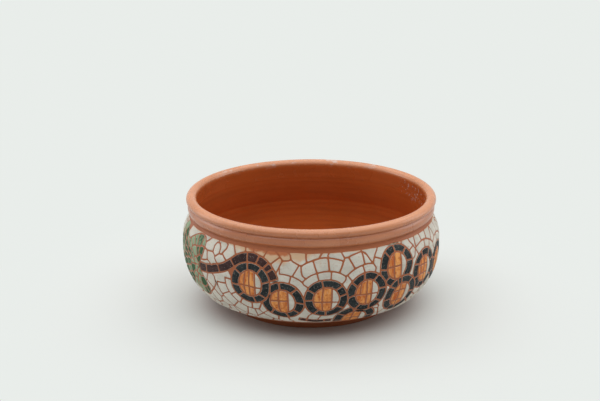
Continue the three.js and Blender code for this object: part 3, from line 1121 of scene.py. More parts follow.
# %% Thicken the pieces and wrap them round the pot
SUNK = -0.35
FADE_OVER = 1.0
STAIN_OVER = 9.0
STAIN_MIDDLE, STAIN_WIDTH = math.radians(-17), math.radians(34)


def stain_at(angles):
    """How strong the peach stain is, from 0 to 1. It comes once at the front and once at the back."""
    away = (angles - STAIN_MIDDLE + math.pi / 2) % math.pi - math.pi / 2
    return ease(1 - abs(away) / STAIN_WIDTH)


def thicken(body):
    """Cuts the pieces for the bend and makes them closed bodies."""
    cut_into_strips(body)
    bottom = body.verts[:]
    bmesh.ops.extrude_face_region(body, geom=body.faces[:], use_keep_orig=True)
    for vert in bottom:
        vert.co.z = SUNK
    bmesh.ops.recalc_face_normals(body, faces=body.faces[:])


def wrap(body):
    """Moves every vertex from the plan to the pot and writes how far the slip has faded there."""
    fade_layer = body.verts.layers.float.new("fade")
    x, y, z = np.array([vert.co for vert in body.verts]).T
    angle, along = x / BELLY_RADIUS, np.interp(y, plan_up, belly_along)
    below_top = band_top(angle) - along
    thinning = THINNEST_SLIP + (1 - THINNEST_SLIP) * ease(below_top / THIN_OVER)
    radius, height = on_belly(along, clay_rise(along) + np.where(z > 0, z * thinning, z))
    fades = np.maximum(1 - below_top / FADE_OVER, stain_at(angle) * (1 - below_top / STAIN_OVER))
    places = np.array([radius * np.sin(angle), -radius * np.cos(angle), height]).T
    for vert, place, fade in zip(body.verts, places.tolist(), fades.tolist()):
        vert.co = place
        vert[fade_layer] = max(fade, 0)


print("the stain reaches", STAIN_OVER, "mm down from the slip's upper edge")

# %% Build the slip and one object for each ring, flesh, leaf, stem and tendril
COLOURS = {"grape_ring": "black_paint", "grape_flesh": "amber_paint", "vine_leaf": "green_paint",
           "vine_stem": "brown_paint", "tendril": "brown_paint"}


def cut_out(numbers):
    """A copy of the plan with only these owners' pieces."""
    body = plan.copy()
    layer = body.faces.layers.int["owner"]
    others = [face for face in body.faces if face[layer] not in numbers]
    bmesh.ops.delete(body, geom=others, context="FACES")
    return body


def finish_object(body, name):
    """Scales a mesh to metres, shades it smooth and links it."""
    bmesh.ops.scale(body, vec=(MILLIMETRE,) * 3, verts=body.verts[:])
    mesh = bpy.data.meshes.new(name)
    body.to_mesh(mesh)
    body.free()
    mesh.shade_smooth()
    piece = bpy.data.objects.new(name, mesh)
    bpy.context.scene.collection.objects.link(piece)
    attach(piece, "root")
    return piece


def build_coat(numbers, node):
    body = cut_out(numbers)
    thicken(body)
    wrap(body)
    return finish_object(body, f"fired_{node}")


painted = {}
slip_numbers = set()
for number, name in enumerate(owner_names):
    if name and name[1] in ("ground", "glint"):
        slip_numbers.add(number)
    elif name:
        repeat, thing, which = name
        node = f"{repeat}_{thing}_{which}" if which else f"{repeat}_{thing}"
        piece = build_coat({number}, node)
        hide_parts(node)
        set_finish(piece, COLOURS[thing])
        painted[node] = piece
slip = build_coat(slip_numbers, "slip_coat")
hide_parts("slip_coat")
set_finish(slip, "white_slip")
plan.free()
left_over = sorted(set(frame["nodes"]) - set(painted) - {"slip_coat", "clay_body"})
print("painted objects:", len(painted), "faces in the slip:", len(slip.data.polygons))
print("packed pieces that nothing replaces:", left_over)

# %% [markdown]
# ## The clay body
# The bowl was thrown on a wheel, so its clay is half an outline spun round the axis. The outline goes
# from the middle of the recess under the foot, round the foot ring, up the belly and the neck, over the
# rolled lip, and down the inside to the floor. Each stretch is a curve of its own, so the places where
# the potter pressed a tool in, at the foot and under the lip, stay crisp.

# %% Draw the half outline of the clay
WALL = 4.8
INSIDE_STOP = 37.0
BOWL_HEIGHT = 62.0
LIP_MIDDLE = Vector((65.0, 59.5))
LIP_HALF = Vector((2.75, 2.45))
LIP_START, LIP_STOP = math.radians(-50), math.radians(185)
LIP_PARTS = 36
RECESS_HEIGHT = 2.6
RECESS = [(0, RECESS_HEIGHT), (20, RECESS_HEIGHT), (35.5, RECESS_HEIGHT)]
RECESS_EDGE = [(36.8, 2.55), (38.2, 2.0), (38.8, 0.7), (39.15, 0.12)]
FOOT_RING = [(39.6, 0), (43.7, 0), (44.5, 0.25), (44.85, 0.9), (45.45, 3.8)]
BAND = [(65.25, 51.3), (66.0, 51.9), (66.7, 52.9), (67.0, 54.4), (66.85, 55.9), (66.35, 56.9), (66.1, 57.25)]
UNDER_LIP = [(62.3, 55.5), (62.45, 50.0), (63.15, 43.5)]
INNER_FLOOR = [(22.4, 7.56), (8.0, 7.3), (0.0, 7.28)]
EVERY = 7


def curve(spots, parts):
    return smooth_line([Vector(spot) for spot in spots], parts)


def arc_points(middle, half, start, stop, parts):
    ways = [start + (stop - start) * i / parts for i in range(parts + 1)]
    return [Vector((middle.x + half.x * math.cos(way), middle.y + half.y * math.sin(way))) for way in ways]


def belly_points(rise):
    """Every seventh spot along the belly's curve, moved square to it by a rise that may differ on the way."""
    along = belly_along[::EVERY]
    return [Vector(spot) for spot in np.array(on_belly(along, rise(along))).T.tolist()]


def wall_inside(along):
    return np.full_like(along, -WALL)


outer_points = curve(RECESS, 6) + curve(RECESS_EDGE, 3) + curve(FOOT_RING, 3) + belly_points(clay_rise)
outer_points += curve(BAND, 5) + arc_points(LIP_MIDDLE, LIP_HALF, LIP_START, LIP_STOP, LIP_PARTS)
inside = [spot for spot in reversed(belly_points(wall_inside)) if spot.y < INSIDE_STOP]
inner_points = curve([outer_points[-1], *UNDER_LIP, inside[0]], 6)[1:] + inside[1:]
inner_points += curve([inside[-1], *INNER_FLOOR], 14)[1:]
print("points in the half outline:", len(outer_points + inner_points))

# %% [markdown]
# ## Spinning and finger marks
# The outline is spun in 240 steps, with the seam merged. A thrower's fingers leave low spiral ridges on
# the inside. They rise steadily, a few millimetres a turn, so a sine of height and angle together draws
# them. They push the wall sideways and the floor up, and fade towards the lip and the middle. The lip
# isn't quite level either: it sags by a millimetre towards the front.

# %% Spin the clay body
SPIN_STEPS = 240
MERGE = 1e-3

clay = bmesh.new()
inside_layer = clay.verts.layers.float.new("inside")
outline_verts = [clay.verts.new((spot.x, 0, spot.y)) for spot in outer_points + inner_points]
for vert in outline_verts[len(outer_points):]:
    vert[inside_layer] = 1
outline_edges = [clay.edges.new(pair) for pair in zip(outline_verts, outline_verts[1:])]
bmesh.ops.spin(clay, geom=outline_verts + outline_edges, cent=(0, 0, 0), axis=(0, 0, 1),
               angle=2 * math.pi, steps=SPIN_STEPS, use_merge=True)
bmesh.ops.remove_doubles(clay, verts=clay.verts[:], dist=MERGE)
bmesh.ops.recalc_face_normals(clay, faces=clay.faces[:])
print("vertices of the spun clay:", len(clay.verts))

# %% Press the finger ridges and let the lip sag
RIDGE_RISE = 3.4
RIDGE_DEPTH = 0.05
LIP_FADE, MIDDLE_FADE = 6.0, 20.0
WALL_FROM, WALL_TO = 9.0, 19.0
FLOOR_SHARE = 0.8
LIP_SAG = 1.0

x, y, z = np.array([vert.co for vert in clay.verts]).T
on_inside = np.array([vert[inside_layer] for vert in clay.verts])
radius = np.maximum(np.hypot(x, y), 1)
under_lip = LIP_MIDDLE.y - LIP_HALF.y - z
depth = RIDGE_DEPTH * on_inside * ease(under_lip / LIP_FADE) * ease(radius / MIDDLE_FADE)
along_wall = z + np.maximum(0, inside[-1].x - radius) * FLOOR_SHARE
ridge = depth * np.sin(2 * math.pi * along_wall / RIDGE_RISE + np.arctan2(y, x))
steep = ease((z - WALL_FROM) / (WALL_TO - WALL_FROM))
sag = LIP_SAG * ease((z - NECK_HEIGHT) / (BOWL_HEIGHT - NECK_HEIGHT)) * (0.5 - 0.5 * y / radius)
z = np.maximum(z + ridge * (1 - steep) - sag, 0)
places = np.array([x + ridge * steep * x / radius, y + ridge * steep * y / radius, z]).T
for vert, place in zip(clay.verts, places.tolist()):
    vert.co = place
clay_body = finish_object(clay, "turned_clay_body")
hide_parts("clay_body")
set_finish(clay_body, "terracotta")
print("faces in the clay body:", len(clay_body.data.polygons))

# %% [markdown]
# ## Building materials from nodes
# Every finish here is made of noise, colour mixes and bump. One helper adds a node and fills its inputs,
# and links an input when it is given another node's output. The others are short names for the nodes that
# are used most.

# %% Make helpers for shader nodes
def add_node(tree, kind, inputs=None, **settings):
    """Adds a shader node. Its inputs are given by name as values, or as the sockets that feed them."""
    node = tree.nodes.new(kind)
    for name, value in settings.items():
        setattr(node, name, value)
    for name, value in (inputs or {}).items():
        if isinstance(value, bpy.types.NodeSocket):
            tree.links.new(value, node.inputs[name])
        else:
            node.inputs[name].default_value = value
    return node


def opaque(colour):
    return (*colour, 1.0)


def calculate(tree, operation, first, second):
    return add_node(tree, "ShaderNodeMath", {0: first, 1: second}, operation=operation).outputs[0]


def stretch(tree, value, low, high, start=0.0, stop=1.0):
    """Turns the range from low to high into start to stop, smoothly, and holds it at both ends."""
    inputs = {"Value": value, "From Min": low, "From Max": high, "To Min": start, "To Max": stop}
    return add_node(tree, "ShaderNodeMapRange", inputs, interpolation_type="SMOOTHSTEP").outputs["Result"]


def mix_colours(tree, share, first, second):
    """Mixes two colours. A Mix node's inputs for colours have the numbers 6 and 7, and its output has 2."""
    node = add_node(tree, "ShaderNodeMix", {"Factor": share}, data_type="RGBA")
    for socket, value in ((node.inputs[6], first), (node.inputs[7], second)):
        if isinstance(value, bpy.types.NodeSocket):
            tree.links.new(value, socket)
        else:
            socket.default_value = opaque(value)
    return node.outputs[2]


def noise_of(tree, size, squash=(1, 1, 1), detail=3.0, roughness=0.55, seed=0.0):
    """Noise on Object coordinates whose blotches are about size millimetres, squashed along the axes."""
    place = add_node(tree, "ShaderNodeTexCoord").outputs["Object"]
    scale = tuple(part / (size * MILLIMETRE) for part in squash)
    mapped = add_node(tree, "ShaderNodeMapping", {"Vector": place, "Scale": scale, "Location": (seed,) * 3})
    inputs = {"Vector": mapped.outputs[0], "Scale": 1.0, "Detail": detail, "Roughness": roughness}
    return add_node(tree, "ShaderNodeTexNoise", inputs).outputs["Fac"]


def painted_value(tree, name):
    """A value that was written on the vertices, such as the distance from a joint."""
    return add_node(tree, "ShaderNodeAttribute", attribute_name=name).outputs["Fac"]


def bump(tree, height, strength, distance, base=None):
    inputs = {"Height": height, "Strength": strength, "Distance": distance * MILLIMETRE}
    if base is not None:
        inputs["Normal"] = base
    return add_node(tree, "ShaderNodeBump", inputs).outputs["Normal"]


print("materials so far:", len(bpy.data.materials))

# %% [markdown]
# ## The grain of fired earthenware
# Clay, slip and colour are all matt and share one fine grain: sand in the clay that shows through thin
# coats as small bumps, and pinpricks where a bubble burst. What several materials share is a node group,
# which is made once and placed in each with values of its own. This one puts out a height for bump and a
# mask of dark specks.

# %% Make the grain group
def new_group(name, inputs, outputs):
    """A node group with named inputs and outputs, and its two end nodes."""
    tree = bpy.data.node_groups.new(name, "ShaderNodeTree")
    for label, kind, value in inputs:
        socket = tree.interface.new_socket(label, in_out="INPUT", socket_type="NodeSocket" + kind)
        socket.default_value = value
    for label, kind in outputs:
        tree.interface.new_socket(label, in_out="OUTPUT", socket_type="NodeSocket" + kind)
    return tree, tree.nodes.new("NodeGroupInput").outputs, tree.nodes.new("NodeGroupOutput").inputs


def place_group(tree, group, inputs):
    return add_node(tree, "ShaderNodeGroup", inputs, node_tree=group).outputs


grain_group, grain_in, grain_out = new_group(
    "earthenware_grain",
    [("Sand", "Float", 1.0), ("Pits", "Float", 1.0)],
    [("Height", "Float"), ("Specks", "Float")])
sand = noise_of(grain_group, 0.45, detail=4.0, roughness=0.7)
pits = stretch(grain_group, noise_of(grain_group, 0.8, detail=1.0, seed=7.3), 0.24, 0.32, 1.0, 0.0)
bumps = calculate(grain_group, "MULTIPLY", sand, grain_in["Sand"])
holes = calculate(grain_group, "MULTIPLY", pits, grain_in["Pits"])
grain_group.links.new(calculate(grain_group, "SUBTRACT", bumps, holes), grain_out["Height"])
specks = stretch(grain_group, noise_of(grain_group, 0.6, detail=0.0, seed=3.1), 0.68, 0.76)
grain_group.links.new(specks, grain_out["Specks"])
print("inputs of the grain group:", [item.name for item in grain_group.interface.items_tree])

# %% [markdown]
# ## Terracotta
# Bare clay that was turned while leather-hard: warm red brown, with fine lines that run round the pot and
# a darker colour in the lines. Light is painted into the colour too: the lip is made paler as a painted
# sheen where the satin lip catches the light, and the clay is made darker inside the bowl, under the band
# and near the foot as painted shade. Wet fingers left smudges of white slip on the far side of the lip, and
# pale specks are added high on the inner wall at the right. The lines are noise that is squashed along
# height plus radius, so they follow the turning on walls and on the floor alike.

# %% Write the turning lines
TURN_MIX = 0.7
ROUND_SCALE = 22


def turning_lines(tree, size, seed=0.0):
    """Noise in rings round the axis: it changes fast with height and radius, and slowly round the pot."""
    place = add_node(tree, "ShaderNodeTexCoord").outputs["Object"]
    parts = add_node(tree, "ShaderNodeSeparateXYZ", {"Vector": place}).outputs
    flat = add_node(tree, "ShaderNodeCombineXYZ", {"X": parts["X"], "Y": parts["Y"]}).outputs[0]
    radius = add_node(tree, "ShaderNodeVectorMath", {0: flat}, operation="LENGTH").outputs["Value"]
    mixed = calculate(tree, "ADD", parts["Z"], calculate(tree, "MULTIPLY", radius, TURN_MIX))
    lines = add_node(tree, "ShaderNodeCombineXYZ", {"X": parts["X"], "Y": parts["Y"], "Z": mixed}).outputs[0]
    scale = (ROUND_SCALE, ROUND_SCALE, 1 / (size * MILLIMETRE))
    mapped = add_node(tree, "ShaderNodeMapping", {"Vector": lines, "Scale": scale, "Location": (seed,) * 3})
    inputs = {"Vector": mapped.outputs[0], "Scale": 1.0, "Detail": 3.0, "Roughness": 0.6}
    return add_node(tree, "ShaderNodeTexNoise", inputs).outputs["Fac"]


def over_distance(tree, place, low, high, start=0.0, stop=1.0):
    """A value that goes from start to stop between two places in millimetres."""
    return stretch(tree, place, low * MILLIMETRE, high * MILLIMETRE, start, stop)


print("groups so far:", len(bpy.data.node_groups))

# %% Make the terracotta
# The inside colour and the deep colour also serve as painted shade, and the lip colour as a painted sheen.
CLAY_DEEP_AND_SHADE, CLAY_MIDDLE, CLAY_PALE = (0.33, 0.088, 0.028), (0.47, 0.150, 0.055), (0.55, 0.20, 0.085)
CLAY_INSIDE_SHADE, CLAY_LIP_SHEEN, CLAY_SHADE = (0.44, 0.092, 0.015), (0.69, 0.275, 0.095), (0.22, 0.06, 0.02)
PALE_MARK = (0.66, 0.63, 0.60)
NECK_LINE = 52.3
SHADE_WIDTH = 0.9
FOOT_SHADE_FROM, FOOT_SHADE_TO = 11, 5
FAR_FROM, FAR_TO = 30, 50
RIGHT_FROM, RIGHT_TO = 50, 56
HIGH_FROM, HIGH_TO = 46, 53
LIP_FROM, LIP_TO = LIP_MIDDLE.y - 2.2, LIP_MIDDLE.y + 1.8


def new_material(name):
    material = bpy.data.materials.new(name)
    material.use_nodes = True
    tree = material.node_tree
    return material, tree, tree.nodes["Principled BSDF"]


def clay_colour(tree, grain, clouds, inner, fine_lines, height):
    """The colour of bare clay, from the broad clouds to the last specks, then painted shade inside, under the
    band and near the foot.
    """
    colour = mix_colours(tree, stretch(tree, clouds, 0.3, 0.7), CLAY_MIDDLE, CLAY_PALE)
    # Painted shade: the inside of the bowl is made darker and redder, for the shade and red bounce light
    # there.
    colour = mix_colours(tree, calculate(tree, "MULTIPLY", inner, 0.85), colour, CLAY_INSIDE_SHADE)
    broad_lines = turning_lines(tree, 5.0, seed=4.2)
    colour = mix_colours(tree, stretch(tree, broad_lines, 0.42, 0.68, 0.0, 0.22), colour, CLAY_SHADE)
    colour = mix_colours(tree, stretch(tree, fine_lines, 0.5, 0.75, 0.0, 0.22), colour, CLAY_DEEP_AND_SHADE)
    colour = mix_colours(tree, calculate(tree, "MULTIPLY", grain["Specks"], 0.5), colour, CLAY_DEEP_AND_SHADE)
    outer = stretch(tree, inner, 0.0, 1.0, 0.75, 0.0)
    # Painted shade: the clay just under the band's overhang is made darker.
    painted_band_shade = over_distance(tree, height, NECK_LINE, NECK_LINE - SHADE_WIDTH)
    colour = mix_colours(tree, calculate(tree, "MULTIPLY", painted_band_shade, outer), colour, CLAY_DEEP_AND_SHADE)
    # Painted shade: the clay outside is made darker towards the foot, under the belly's overhang.
    painted_foot_shade = over_distance(tree, height, FOOT_SHADE_FROM, FOOT_SHADE_TO, 0.0, 0.55)
    return mix_colours(tree, calculate(tree, "MULTIPLY", painted_foot_shade, outer), colour, CLAY_SHADE)


def slip_marks(tree, colour, place, on_lip, inner):
    """Adds the smudges on the far side of the lip and pale specks high on the inner wall at the right."""
    far_side = over_distance(tree, place["Y"], FAR_FROM, FAR_TO)
    cloudy = stretch(tree, noise_of(tree, 7, squash=(1, 1, 2.2), detail=5.0, seed=9.4), 0.56, 0.68)
    smudges = calculate(tree, "MULTIPLY", calculate(tree, "MULTIPLY", on_lip, far_side), cloudy)
    colour = mix_colours(tree, calculate(tree, "MULTIPLY", smudges, 0.45), colour, PALE_MARK)
    right_wall = calculate(tree, "MULTIPLY", over_distance(tree, place["X"], RIGHT_FROM, RIGHT_TO), inner)
    high = over_distance(tree, place["Z"], HIGH_FROM, HIGH_TO)
    high_wall = calculate(tree, "MULTIPLY", right_wall, high)
    # Pale specks high on the inner wall at the right.
    pale_specks = stretch(tree, noise_of(tree, 1.5, detail=2.0, seed=2.2), 0.62, 0.68)
    return mix_colours(tree, calculate(tree, "MULTIPLY", high_wall, pale_specks), colour, PALE_MARK)


def make_terracotta():
    material, tree, shader = new_material("turned_terracotta")
    grain = place_group(tree, grain_group, {"Sand": 1.0, "Pits": 0.8})
    fine_lines = turning_lines(tree, 0.9)
    clouds = noise_of(tree, 16, detail=4.0, seed=1.7)
    inner = stretch(tree, painted_value(tree, "inside"), 0.1, 0.9)
    spot = add_node(tree, "ShaderNodeTexCoord").outputs["Object"]
    place = add_node(tree, "ShaderNodeSeparateXYZ", {"Vector": spot}).outputs
    colour = clay_colour(tree, grain, clouds, inner, fine_lines, place["Z"])
    on_lip = over_distance(tree, place["Z"], LIP_FROM, LIP_TO)
    # Painted sheen: the lip is made paler where the satin lip catches the overhead light.
    colour = mix_colours(tree, calculate(tree, "MULTIPLY", on_lip, 0.45), colour, CLAY_LIP_SHEEN)
    tree.links.new(slip_marks(tree, colour, place, on_lip, inner), shader.inputs["Base Color"])
    rougher = over_distance(tree, place["Z"], NECK_LINE - 1, NECK_LINE, 0.22, 0.0)
    uneven = stretch(tree, clouds, 0.3, 0.7, 0.23, 0.33)
    tree.links.new(calculate(tree, "ADD", uneven, rougher), shader.inputs["Roughness"])
    shine = over_distance(tree, place["Z"], NECK_LINE - 1, NECK_LINE, 0.35, 0.72)
    dull = calculate(tree, "MULTIPLY", inner, 0.42)
    tree.links.new(calculate(tree, "SUBTRACT", shine, dull), shader.inputs["Specular IOR Level"])
    lines = bump(tree, fine_lines, 0.4, 0.08)
    tree.links.new(bump(tree, grain["Height"], 0.35, 0.06, lines), shader.inputs["Normal"])
    return material


terracotta = make_terracotta()
clay_body.data.materials.append(terracotta)
print("nodes in the terracotta:", len(terracotta.node_tree.nodes))

# %% [markdown]
# ## White slip
# Slip is liquid clay that burns to a warm white. It was brushed on, so it is streaky and a little
# see-through, and each scored piece took its own tone. Along the joints the wall of the groove shows the
# clay. At the upper edge the coat fades: the material reads the value that was written there and lets the
# clay through a torn edge of noise, with a peach tint where the slip is thin.

# %% Make the slip
SLIP_WHITE, SLIP_GREY, SLIP_PEACH = (0.69, 0.655, 0.575), (0.54, 0.51, 0.44), (0.62, 0.39, 0.22)
CLAY_JOINT = (0.29, 0.08, 0.028)
WALL_EDGE = 0.1


def make_slip():
    material, tree, shader = new_material("brushed_white_slip")
    grain = place_group(tree, grain_group, {"Sand": 1.0, "Pits": 1.0})
    edge = painted_value(tree, "edge")
    strokes = noise_of(tree, 2.2, squash=(0.3, 0.3, 1), detail=4.0)
    clouds = noise_of(tree, 9, detail=5.0, seed=2.6)
    uneven = calculate(tree, "MULTIPLY", calculate(tree, "ADD", strokes, clouds), 0.5)
    colour = mix_colours(tree, stretch(tree, uneven, 0.36, 0.66), SLIP_GREY, SLIP_WHITE)
    tone = stretch(tree, painted_value(tree, "tone"), 0.0, 1.0, 0.0, 0.3)
    colour = mix_colours(tree, tone, colour, SLIP_WHITE)
    colour = mix_colours(tree, calculate(tree, "MULTIPLY", grain["Specks"], 0.35), colour, CLAY_MIDDLE)
    ragged = calculate(tree, "SUBTRACT", painted_value(tree, "fade"), noise_of(tree, 5, detail=6.0, seed=5.5))
    colour = mix_colours(tree, stretch(tree, ragged, -0.3, 0.0, 0.0, 0.85), colour, SLIP_PEACH)
    colour = mix_colours(tree, stretch(tree, ragged, 0.22, 0.42), colour, CLAY_MIDDLE)
    torn = calculate(tree, "ADD", edge, calculate(tree, "MULTIPLY", noise_of(tree, 0.7, seed=8.8), 0.2))
    wall = stretch(tree, torn, WALL_EDGE, WALL_EDGE + 0.14, 1.0, 0.0)
    tree.links.new(mix_colours(tree, wall, colour, CLAY_JOINT), shader.inputs["Base Color"])
    tree.links.new(stretch(tree, uneven, 0.3, 0.7, 0.72, 0.85), shader.inputs["Roughness"])
    brushed = bump(tree, strokes, 0.4, 0.12)
    tree.links.new(bump(tree, grain["Height"], 0.6, 0.08, brushed), shader.inputs["Normal"])
    return material


slip_material = make_slip()
slip.data.materials.append(slip_material)
print("nodes in the slip:", len(slip_material.node_tree.nodes))

# %% [markdown]
# ## Fired colours
# The painter thinned coloured slips and laid them in short strokes, so each piece goes from dark to light
# along the brush. The colour stops just short of the scored joint, where a hairline of white slip is
# left. One group does this for all four colours. It is given a light and a dark colour, the noise of the
# strokes, the strength of darker spots, the values that were written on the vertices, and the width of
# the pale margin.

# %% Make the group for brushed colours
brush_group, brush_in, brush_out = new_group(
    "brushed_colour",
    [("Light", "Color", (1, 1, 1, 1)), ("Dark", "Color", (0, 0, 0, 1)), ("Strokes", "Float", 0.5),
     ("Spots", "Float", 0.0), ("Edge", "Float", 1.0), ("Tone", "Float", 0.5),
     ("Tone Strength", "Float", 0.3), ("Margin Width", "Float", 0.5)],
    [("Color", "Color"), ("Wash", "Float")])


def brushed_wash(tree):
    """How dark the colour is, from the strokes, the piece's own tone and the spots."""
    from_middle = calculate(tree, "SUBTRACT", brush_in["Tone"], 0.5)
    tone = calculate(tree, "MULTIPLY", from_middle, brush_in["Tone Strength"])
    wash = calculate(tree, "ADD", brush_in["Strokes"], tone)
    spots = stretch(tree, noise_of(tree, 1.6, detail=2.0, seed=6.1), 0.56, 0.66)
    return calculate(tree, "ADD", wash, calculate(tree, "MULTIPLY", spots, brush_in["Spots"]))


def brushed_colour(tree):
    wash = brushed_wash(tree)
    colour = mix_colours(tree, stretch(tree, wash, 0.3, 0.75), brush_in["Light"], brush_in["Dark"])
    swing = calculate(tree, "SUBTRACT", noise_of(tree, 1.3, seed=4.4), 0.5)
    inward = calculate(tree, "ADD", brush_in["Edge"], calculate(tree, "MULTIPLY", swing, 0.6))
    past_margin = calculate(tree, "SUBTRACT", inward, brush_in["Margin Width"])
    colour = mix_colours(tree, stretch(tree, past_margin, -0.12, 0.16), SLIP_GREY, colour)
    wall = stretch(tree, brush_in["Edge"], 0.04, 0.18, 1.0, 0.0)
    tree.links.new(mix_colours(tree, wall, colour, CLAY_JOINT), brush_out["Color"])
    tree.links.new(wash, brush_out["Wash"])


brushed_colour(brush_group)
print("nodes in the brushed colour:", len(brush_group.nodes))

# %% [markdown]
# ## Four colours from one group
# The black is nearly even. The amber and the green were brushed upright and run from light to dark, and
# the green differs most from piece to piece. The brown was brushed along the stem. A colour that was laid
# on thickly is a little smoother, so the wash steers the roughness too.

# %% Make the four colours
UPRIGHT = (1, 1, 0.28)
LEVEL = (0.35, 0.35, 1)
ROUND_SPOTS = (1, 1, 1)
ROUGHNESS_SWING = 0.08


def make_colour(name, light, dark, squash, size, spots, tone, margin, roughness, shine):
    material, tree, shader = new_material(name)
    grain = place_group(tree, grain_group, {"Sand": 1.0, "Pits": 0.7})
    strokes = noise_of(tree, size, squash=squash, detail=4.0, roughness=0.6)
    brushed = place_group(tree, brush_group, {
        "Light": opaque(light), "Dark": opaque(dark), "Strokes": strokes, "Spots": spots,
        "Edge": painted_value(tree, "edge"), "Tone": painted_value(tree, "tone"),
        "Tone Strength": tone, "Margin Width": margin})
    specks = calculate(tree, "MULTIPLY", grain["Specks"], 0.2)
    tree.links.new(mix_colours(tree, specks, brushed["Color"], SLIP_GREY), shader.inputs["Base Color"])
    smooth, rough = roughness - ROUGHNESS_SWING, roughness + ROUGHNESS_SWING
    tree.links.new(stretch(tree, brushed["Wash"], 0.2, 0.8, smooth, rough), shader.inputs["Roughness"])
    shader.inputs["Specular IOR Level"].default_value = shine
    brush_marks = bump(tree, strokes, 0.4, 0.1)
    tree.links.new(bump(tree, grain["Height"], 0.5, 0.07, brush_marks), shader.inputs["Normal"])
    return material


colours = {
    "black_paint": make_colour(
        "black_colour", light=(0.024, 0.030, 0.031), dark=(0.007, 0.010, 0.011), squash=ROUND_SPOTS, size=2.4,
        spots=0.0, tone=0.2, margin=0.26, roughness=0.62, shine=0.2),
    "amber_paint": make_colour(
        "amber_colour", light=(0.84, 0.37, 0.10), dark=(0.50, 0.10, 0.015), squash=UPRIGHT, size=2.2,
        spots=0.16, tone=0.1, margin=0.2, roughness=0.66, shine=0.35),
    "brown_paint": make_colour(
        "brown_colour", light=(0.06, 0.024, 0.021), dark=(0.022, 0.009, 0.009), squash=LEVEL, size=2.8,
        spots=0.0, tone=0.2, margin=0.2, roughness=0.64, shine=0.2),
    "green_paint": make_colour(
        "green_colour", light=(0.27, 0.36, 0.22), dark=(0.025, 0.085, 0.03), squash=UPRIGHT, size=2.6,
        spots=0.3, tone=0.8, margin=0.3, roughness=0.68, shine=0.3),
}
for piece in painted.values():
    piece.data.materials.append(colours[piece["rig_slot"]])
print("painted pieces with their colours:", len(painted))

# %% [markdown]
# ## The paper that it stands on
# The bowl stands on plain pale paper. Near the bowl the paper takes light and shadow like any surface.
# Further out it slowly turns into one even pale shade, as paper does that is lit by lamps of its own. The
# trick is the Light Path node: only rays that come straight from the camera or off a mirror see the even
# shade, and rays that carry light don't.

# %% Lay the floor
FLOOR_SIZE = 8.0
FLOOR_COLOUR = (0.70, 0.715, 0.695)
PAPER_SEEN = (0.815, 0.848, 0.822)
LIFT_FROM, LIFT_TO = 45, 190
FIBRE_SHADE = 0.985
PAPER_ROUGHNESS = 0.9


def seen_directly(tree):
    """1 for rays from the camera and from mirror reflections, and 0 for rays that carry light."""
    path = add_node(tree, "ShaderNodeLightPath").outputs
    mirrored = calculate(tree, "ADD", path["Is Glossy Ray"], path["Is Transmission Ray"])
    return calculate(tree, "MINIMUM", calculate(tree, "ADD", path["Is Camera Ray"], mirrored), 1.0)


floor_mesh = bmesh.new()
bmesh.ops.create_grid(floor_mesh, x_segments=2, y_segments=2, size=FLOOR_SIZE / 2)
floor_data = bpy.data.meshes.new("pale_floor")
floor_mesh.to_mesh(floor_data)
floor_mesh.free()
floor = bpy.data.objects.new("pale_floor", floor_data)
bpy.context.scene.collection.objects.link(floor)
floor_material, floor_tree, floor_shader = new_material("pale_paper")
fibres = noise_of(floor_tree, 3.0, detail=4.0)
fibre_colour = [part * FIBRE_SHADE for part in FLOOR_COLOUR]
floor_colour = mix_colours(floor_tree, fibres, fibre_colour, FLOOR_COLOUR)
floor_tree.links.new(floor_colour, floor_shader.inputs["Base Color"])
floor_shader.inputs["Roughness"].default_value = PAPER_ROUGHNESS
lifted = add_node(floor_tree, "ShaderNodeEmission", {"Color": opaque(PAPER_SEEN), "Strength": 1.0}).outputs[0]
floor_place = add_node(floor_tree, "ShaderNodeTexCoord").outputs["Object"]
away = add_node(floor_tree, "ShaderNodeVectorMath", {0: floor_place}, operation="LENGTH").outputs["Value"]
far = over_distance(floor_tree, away, LIFT_FROM, LIFT_TO)
lift = calculate(floor_tree, "MULTIPLY", seen_directly(floor_tree), far)
shaders = {0: lift, 1: floor_shader.outputs[0], 2: lifted}
paper = add_node(floor_tree, "ShaderNodeMixShader", shaders).outputs[0]
floor_tree.links.new(paper, floor_tree.nodes["Material Output"].inputs["Surface"])
floor_data.materials.append(floor_material)
print("floor:", FLOOR_SIZE, "m across")

# %% [markdown]
# ## Lamps and a pale room
# One large soft lamp hangs over the bowl, with a weak one on the left and on the right, as in a small
# photo tent. The room is white, so the satin lip mirrors white from every side, but it sends less light
# than it shows. That is the Light Path node's work again.

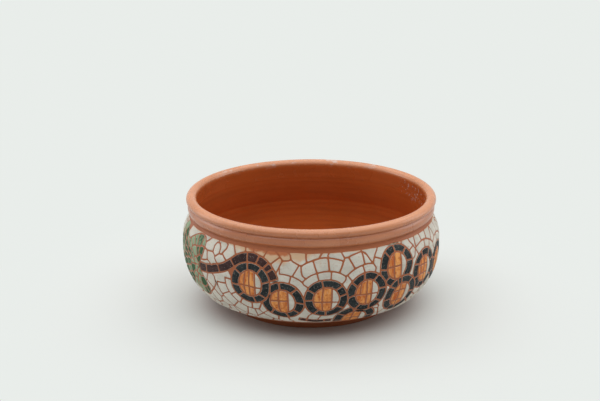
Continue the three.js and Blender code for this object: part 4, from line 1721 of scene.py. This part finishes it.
# %% Hang the lamps and light the world
LAMPS = {
    "overhead_lamp": {"place": (0, 0.02, 0.85), "size": 1.7, "power": 13.4},
    "left_lamp": {"place": (-0.75, 0.15, 0.3), "size": 0.5, "power": 1.3},
    "right_lamp": {"place": (0.75, 0.15, 0.3), "size": 0.5, "power": 1.2},
}
ROOM_COLOUR = (0.97, 0.99, 0.98)
ROOM_SEEN, ROOM_LIGHT = 0.85, 0.25
bowl_middle = Vector((0, 0, BOWL_HEIGHT / 2 * MILLIMETRE))


def hang_lamp(name, place, size, power):
    """A square lamp that points at the middle of the bowl."""
    data = bpy.data.lights.new(name, "AREA")
    data.shape = "SQUARE"
    data.size = size
    data.energy = power
    lamp = bpy.data.objects.new(name, data)
    bpy.context.scene.collection.objects.link(lamp)
    lamp.location = place
    lamp.rotation_euler = (bowl_middle - lamp.location).to_track_quat("-Z", "Y").to_euler()


for name, lamp in LAMPS.items():
    hang_lamp(name, **lamp)
world = bpy.data.worlds.new("pale_room")
world.use_nodes = True
room = world.node_tree
sky = room.nodes["Background"]
sky.inputs["Color"].default_value = opaque(ROOM_COLOUR)
room.links.new(stretch(room, seen_directly(room), 0.0, 1.0, ROOM_LIGHT, ROOM_SEEN), sky.inputs["Strength"])
bpy.context.scene.world = world
bpy.context.scene.view_settings.view_transform = "Standard"
print("lamps:", list(LAMPS))

# %% [markdown]
# ## The camera
# The lens and the camera's place were found by fitting the outlines of lip, belly and foot. The bowl
# stands a little to the right of the picture's middle, so the lens is shifted sideways, as a photographer
# crops, and not turned.

# %% Set up the camera
LENS = 70.0
SENSOR = 36.0
CAMERA_PLACE = Vector((0.0, -0.6085, 0.2418))
CAMERA_PITCH = math.radians(16.97)
PICTURE_WIDTH = 600
AXIS_PIXEL = 311.1

camera_data = bpy.data.cameras.new("camera")
camera_data.lens = LENS
camera_data.sensor_width = SENSOR
camera_data.shift_x = (PICTURE_WIDTH / 2 - AXIS_PIXEL) / PICTURE_WIDTH
camera = bpy.data.objects.new("camera", camera_data)
bpy.context.scene.collection.objects.link(camera)
camera.location = CAMERA_PLACE
camera.rotation_euler = (math.pi / 2 - CAMERA_PITCH, 0, 0)
bpy.context.scene.camera = camera
print("camera at", tuple(CAMERA_PLACE), "m")
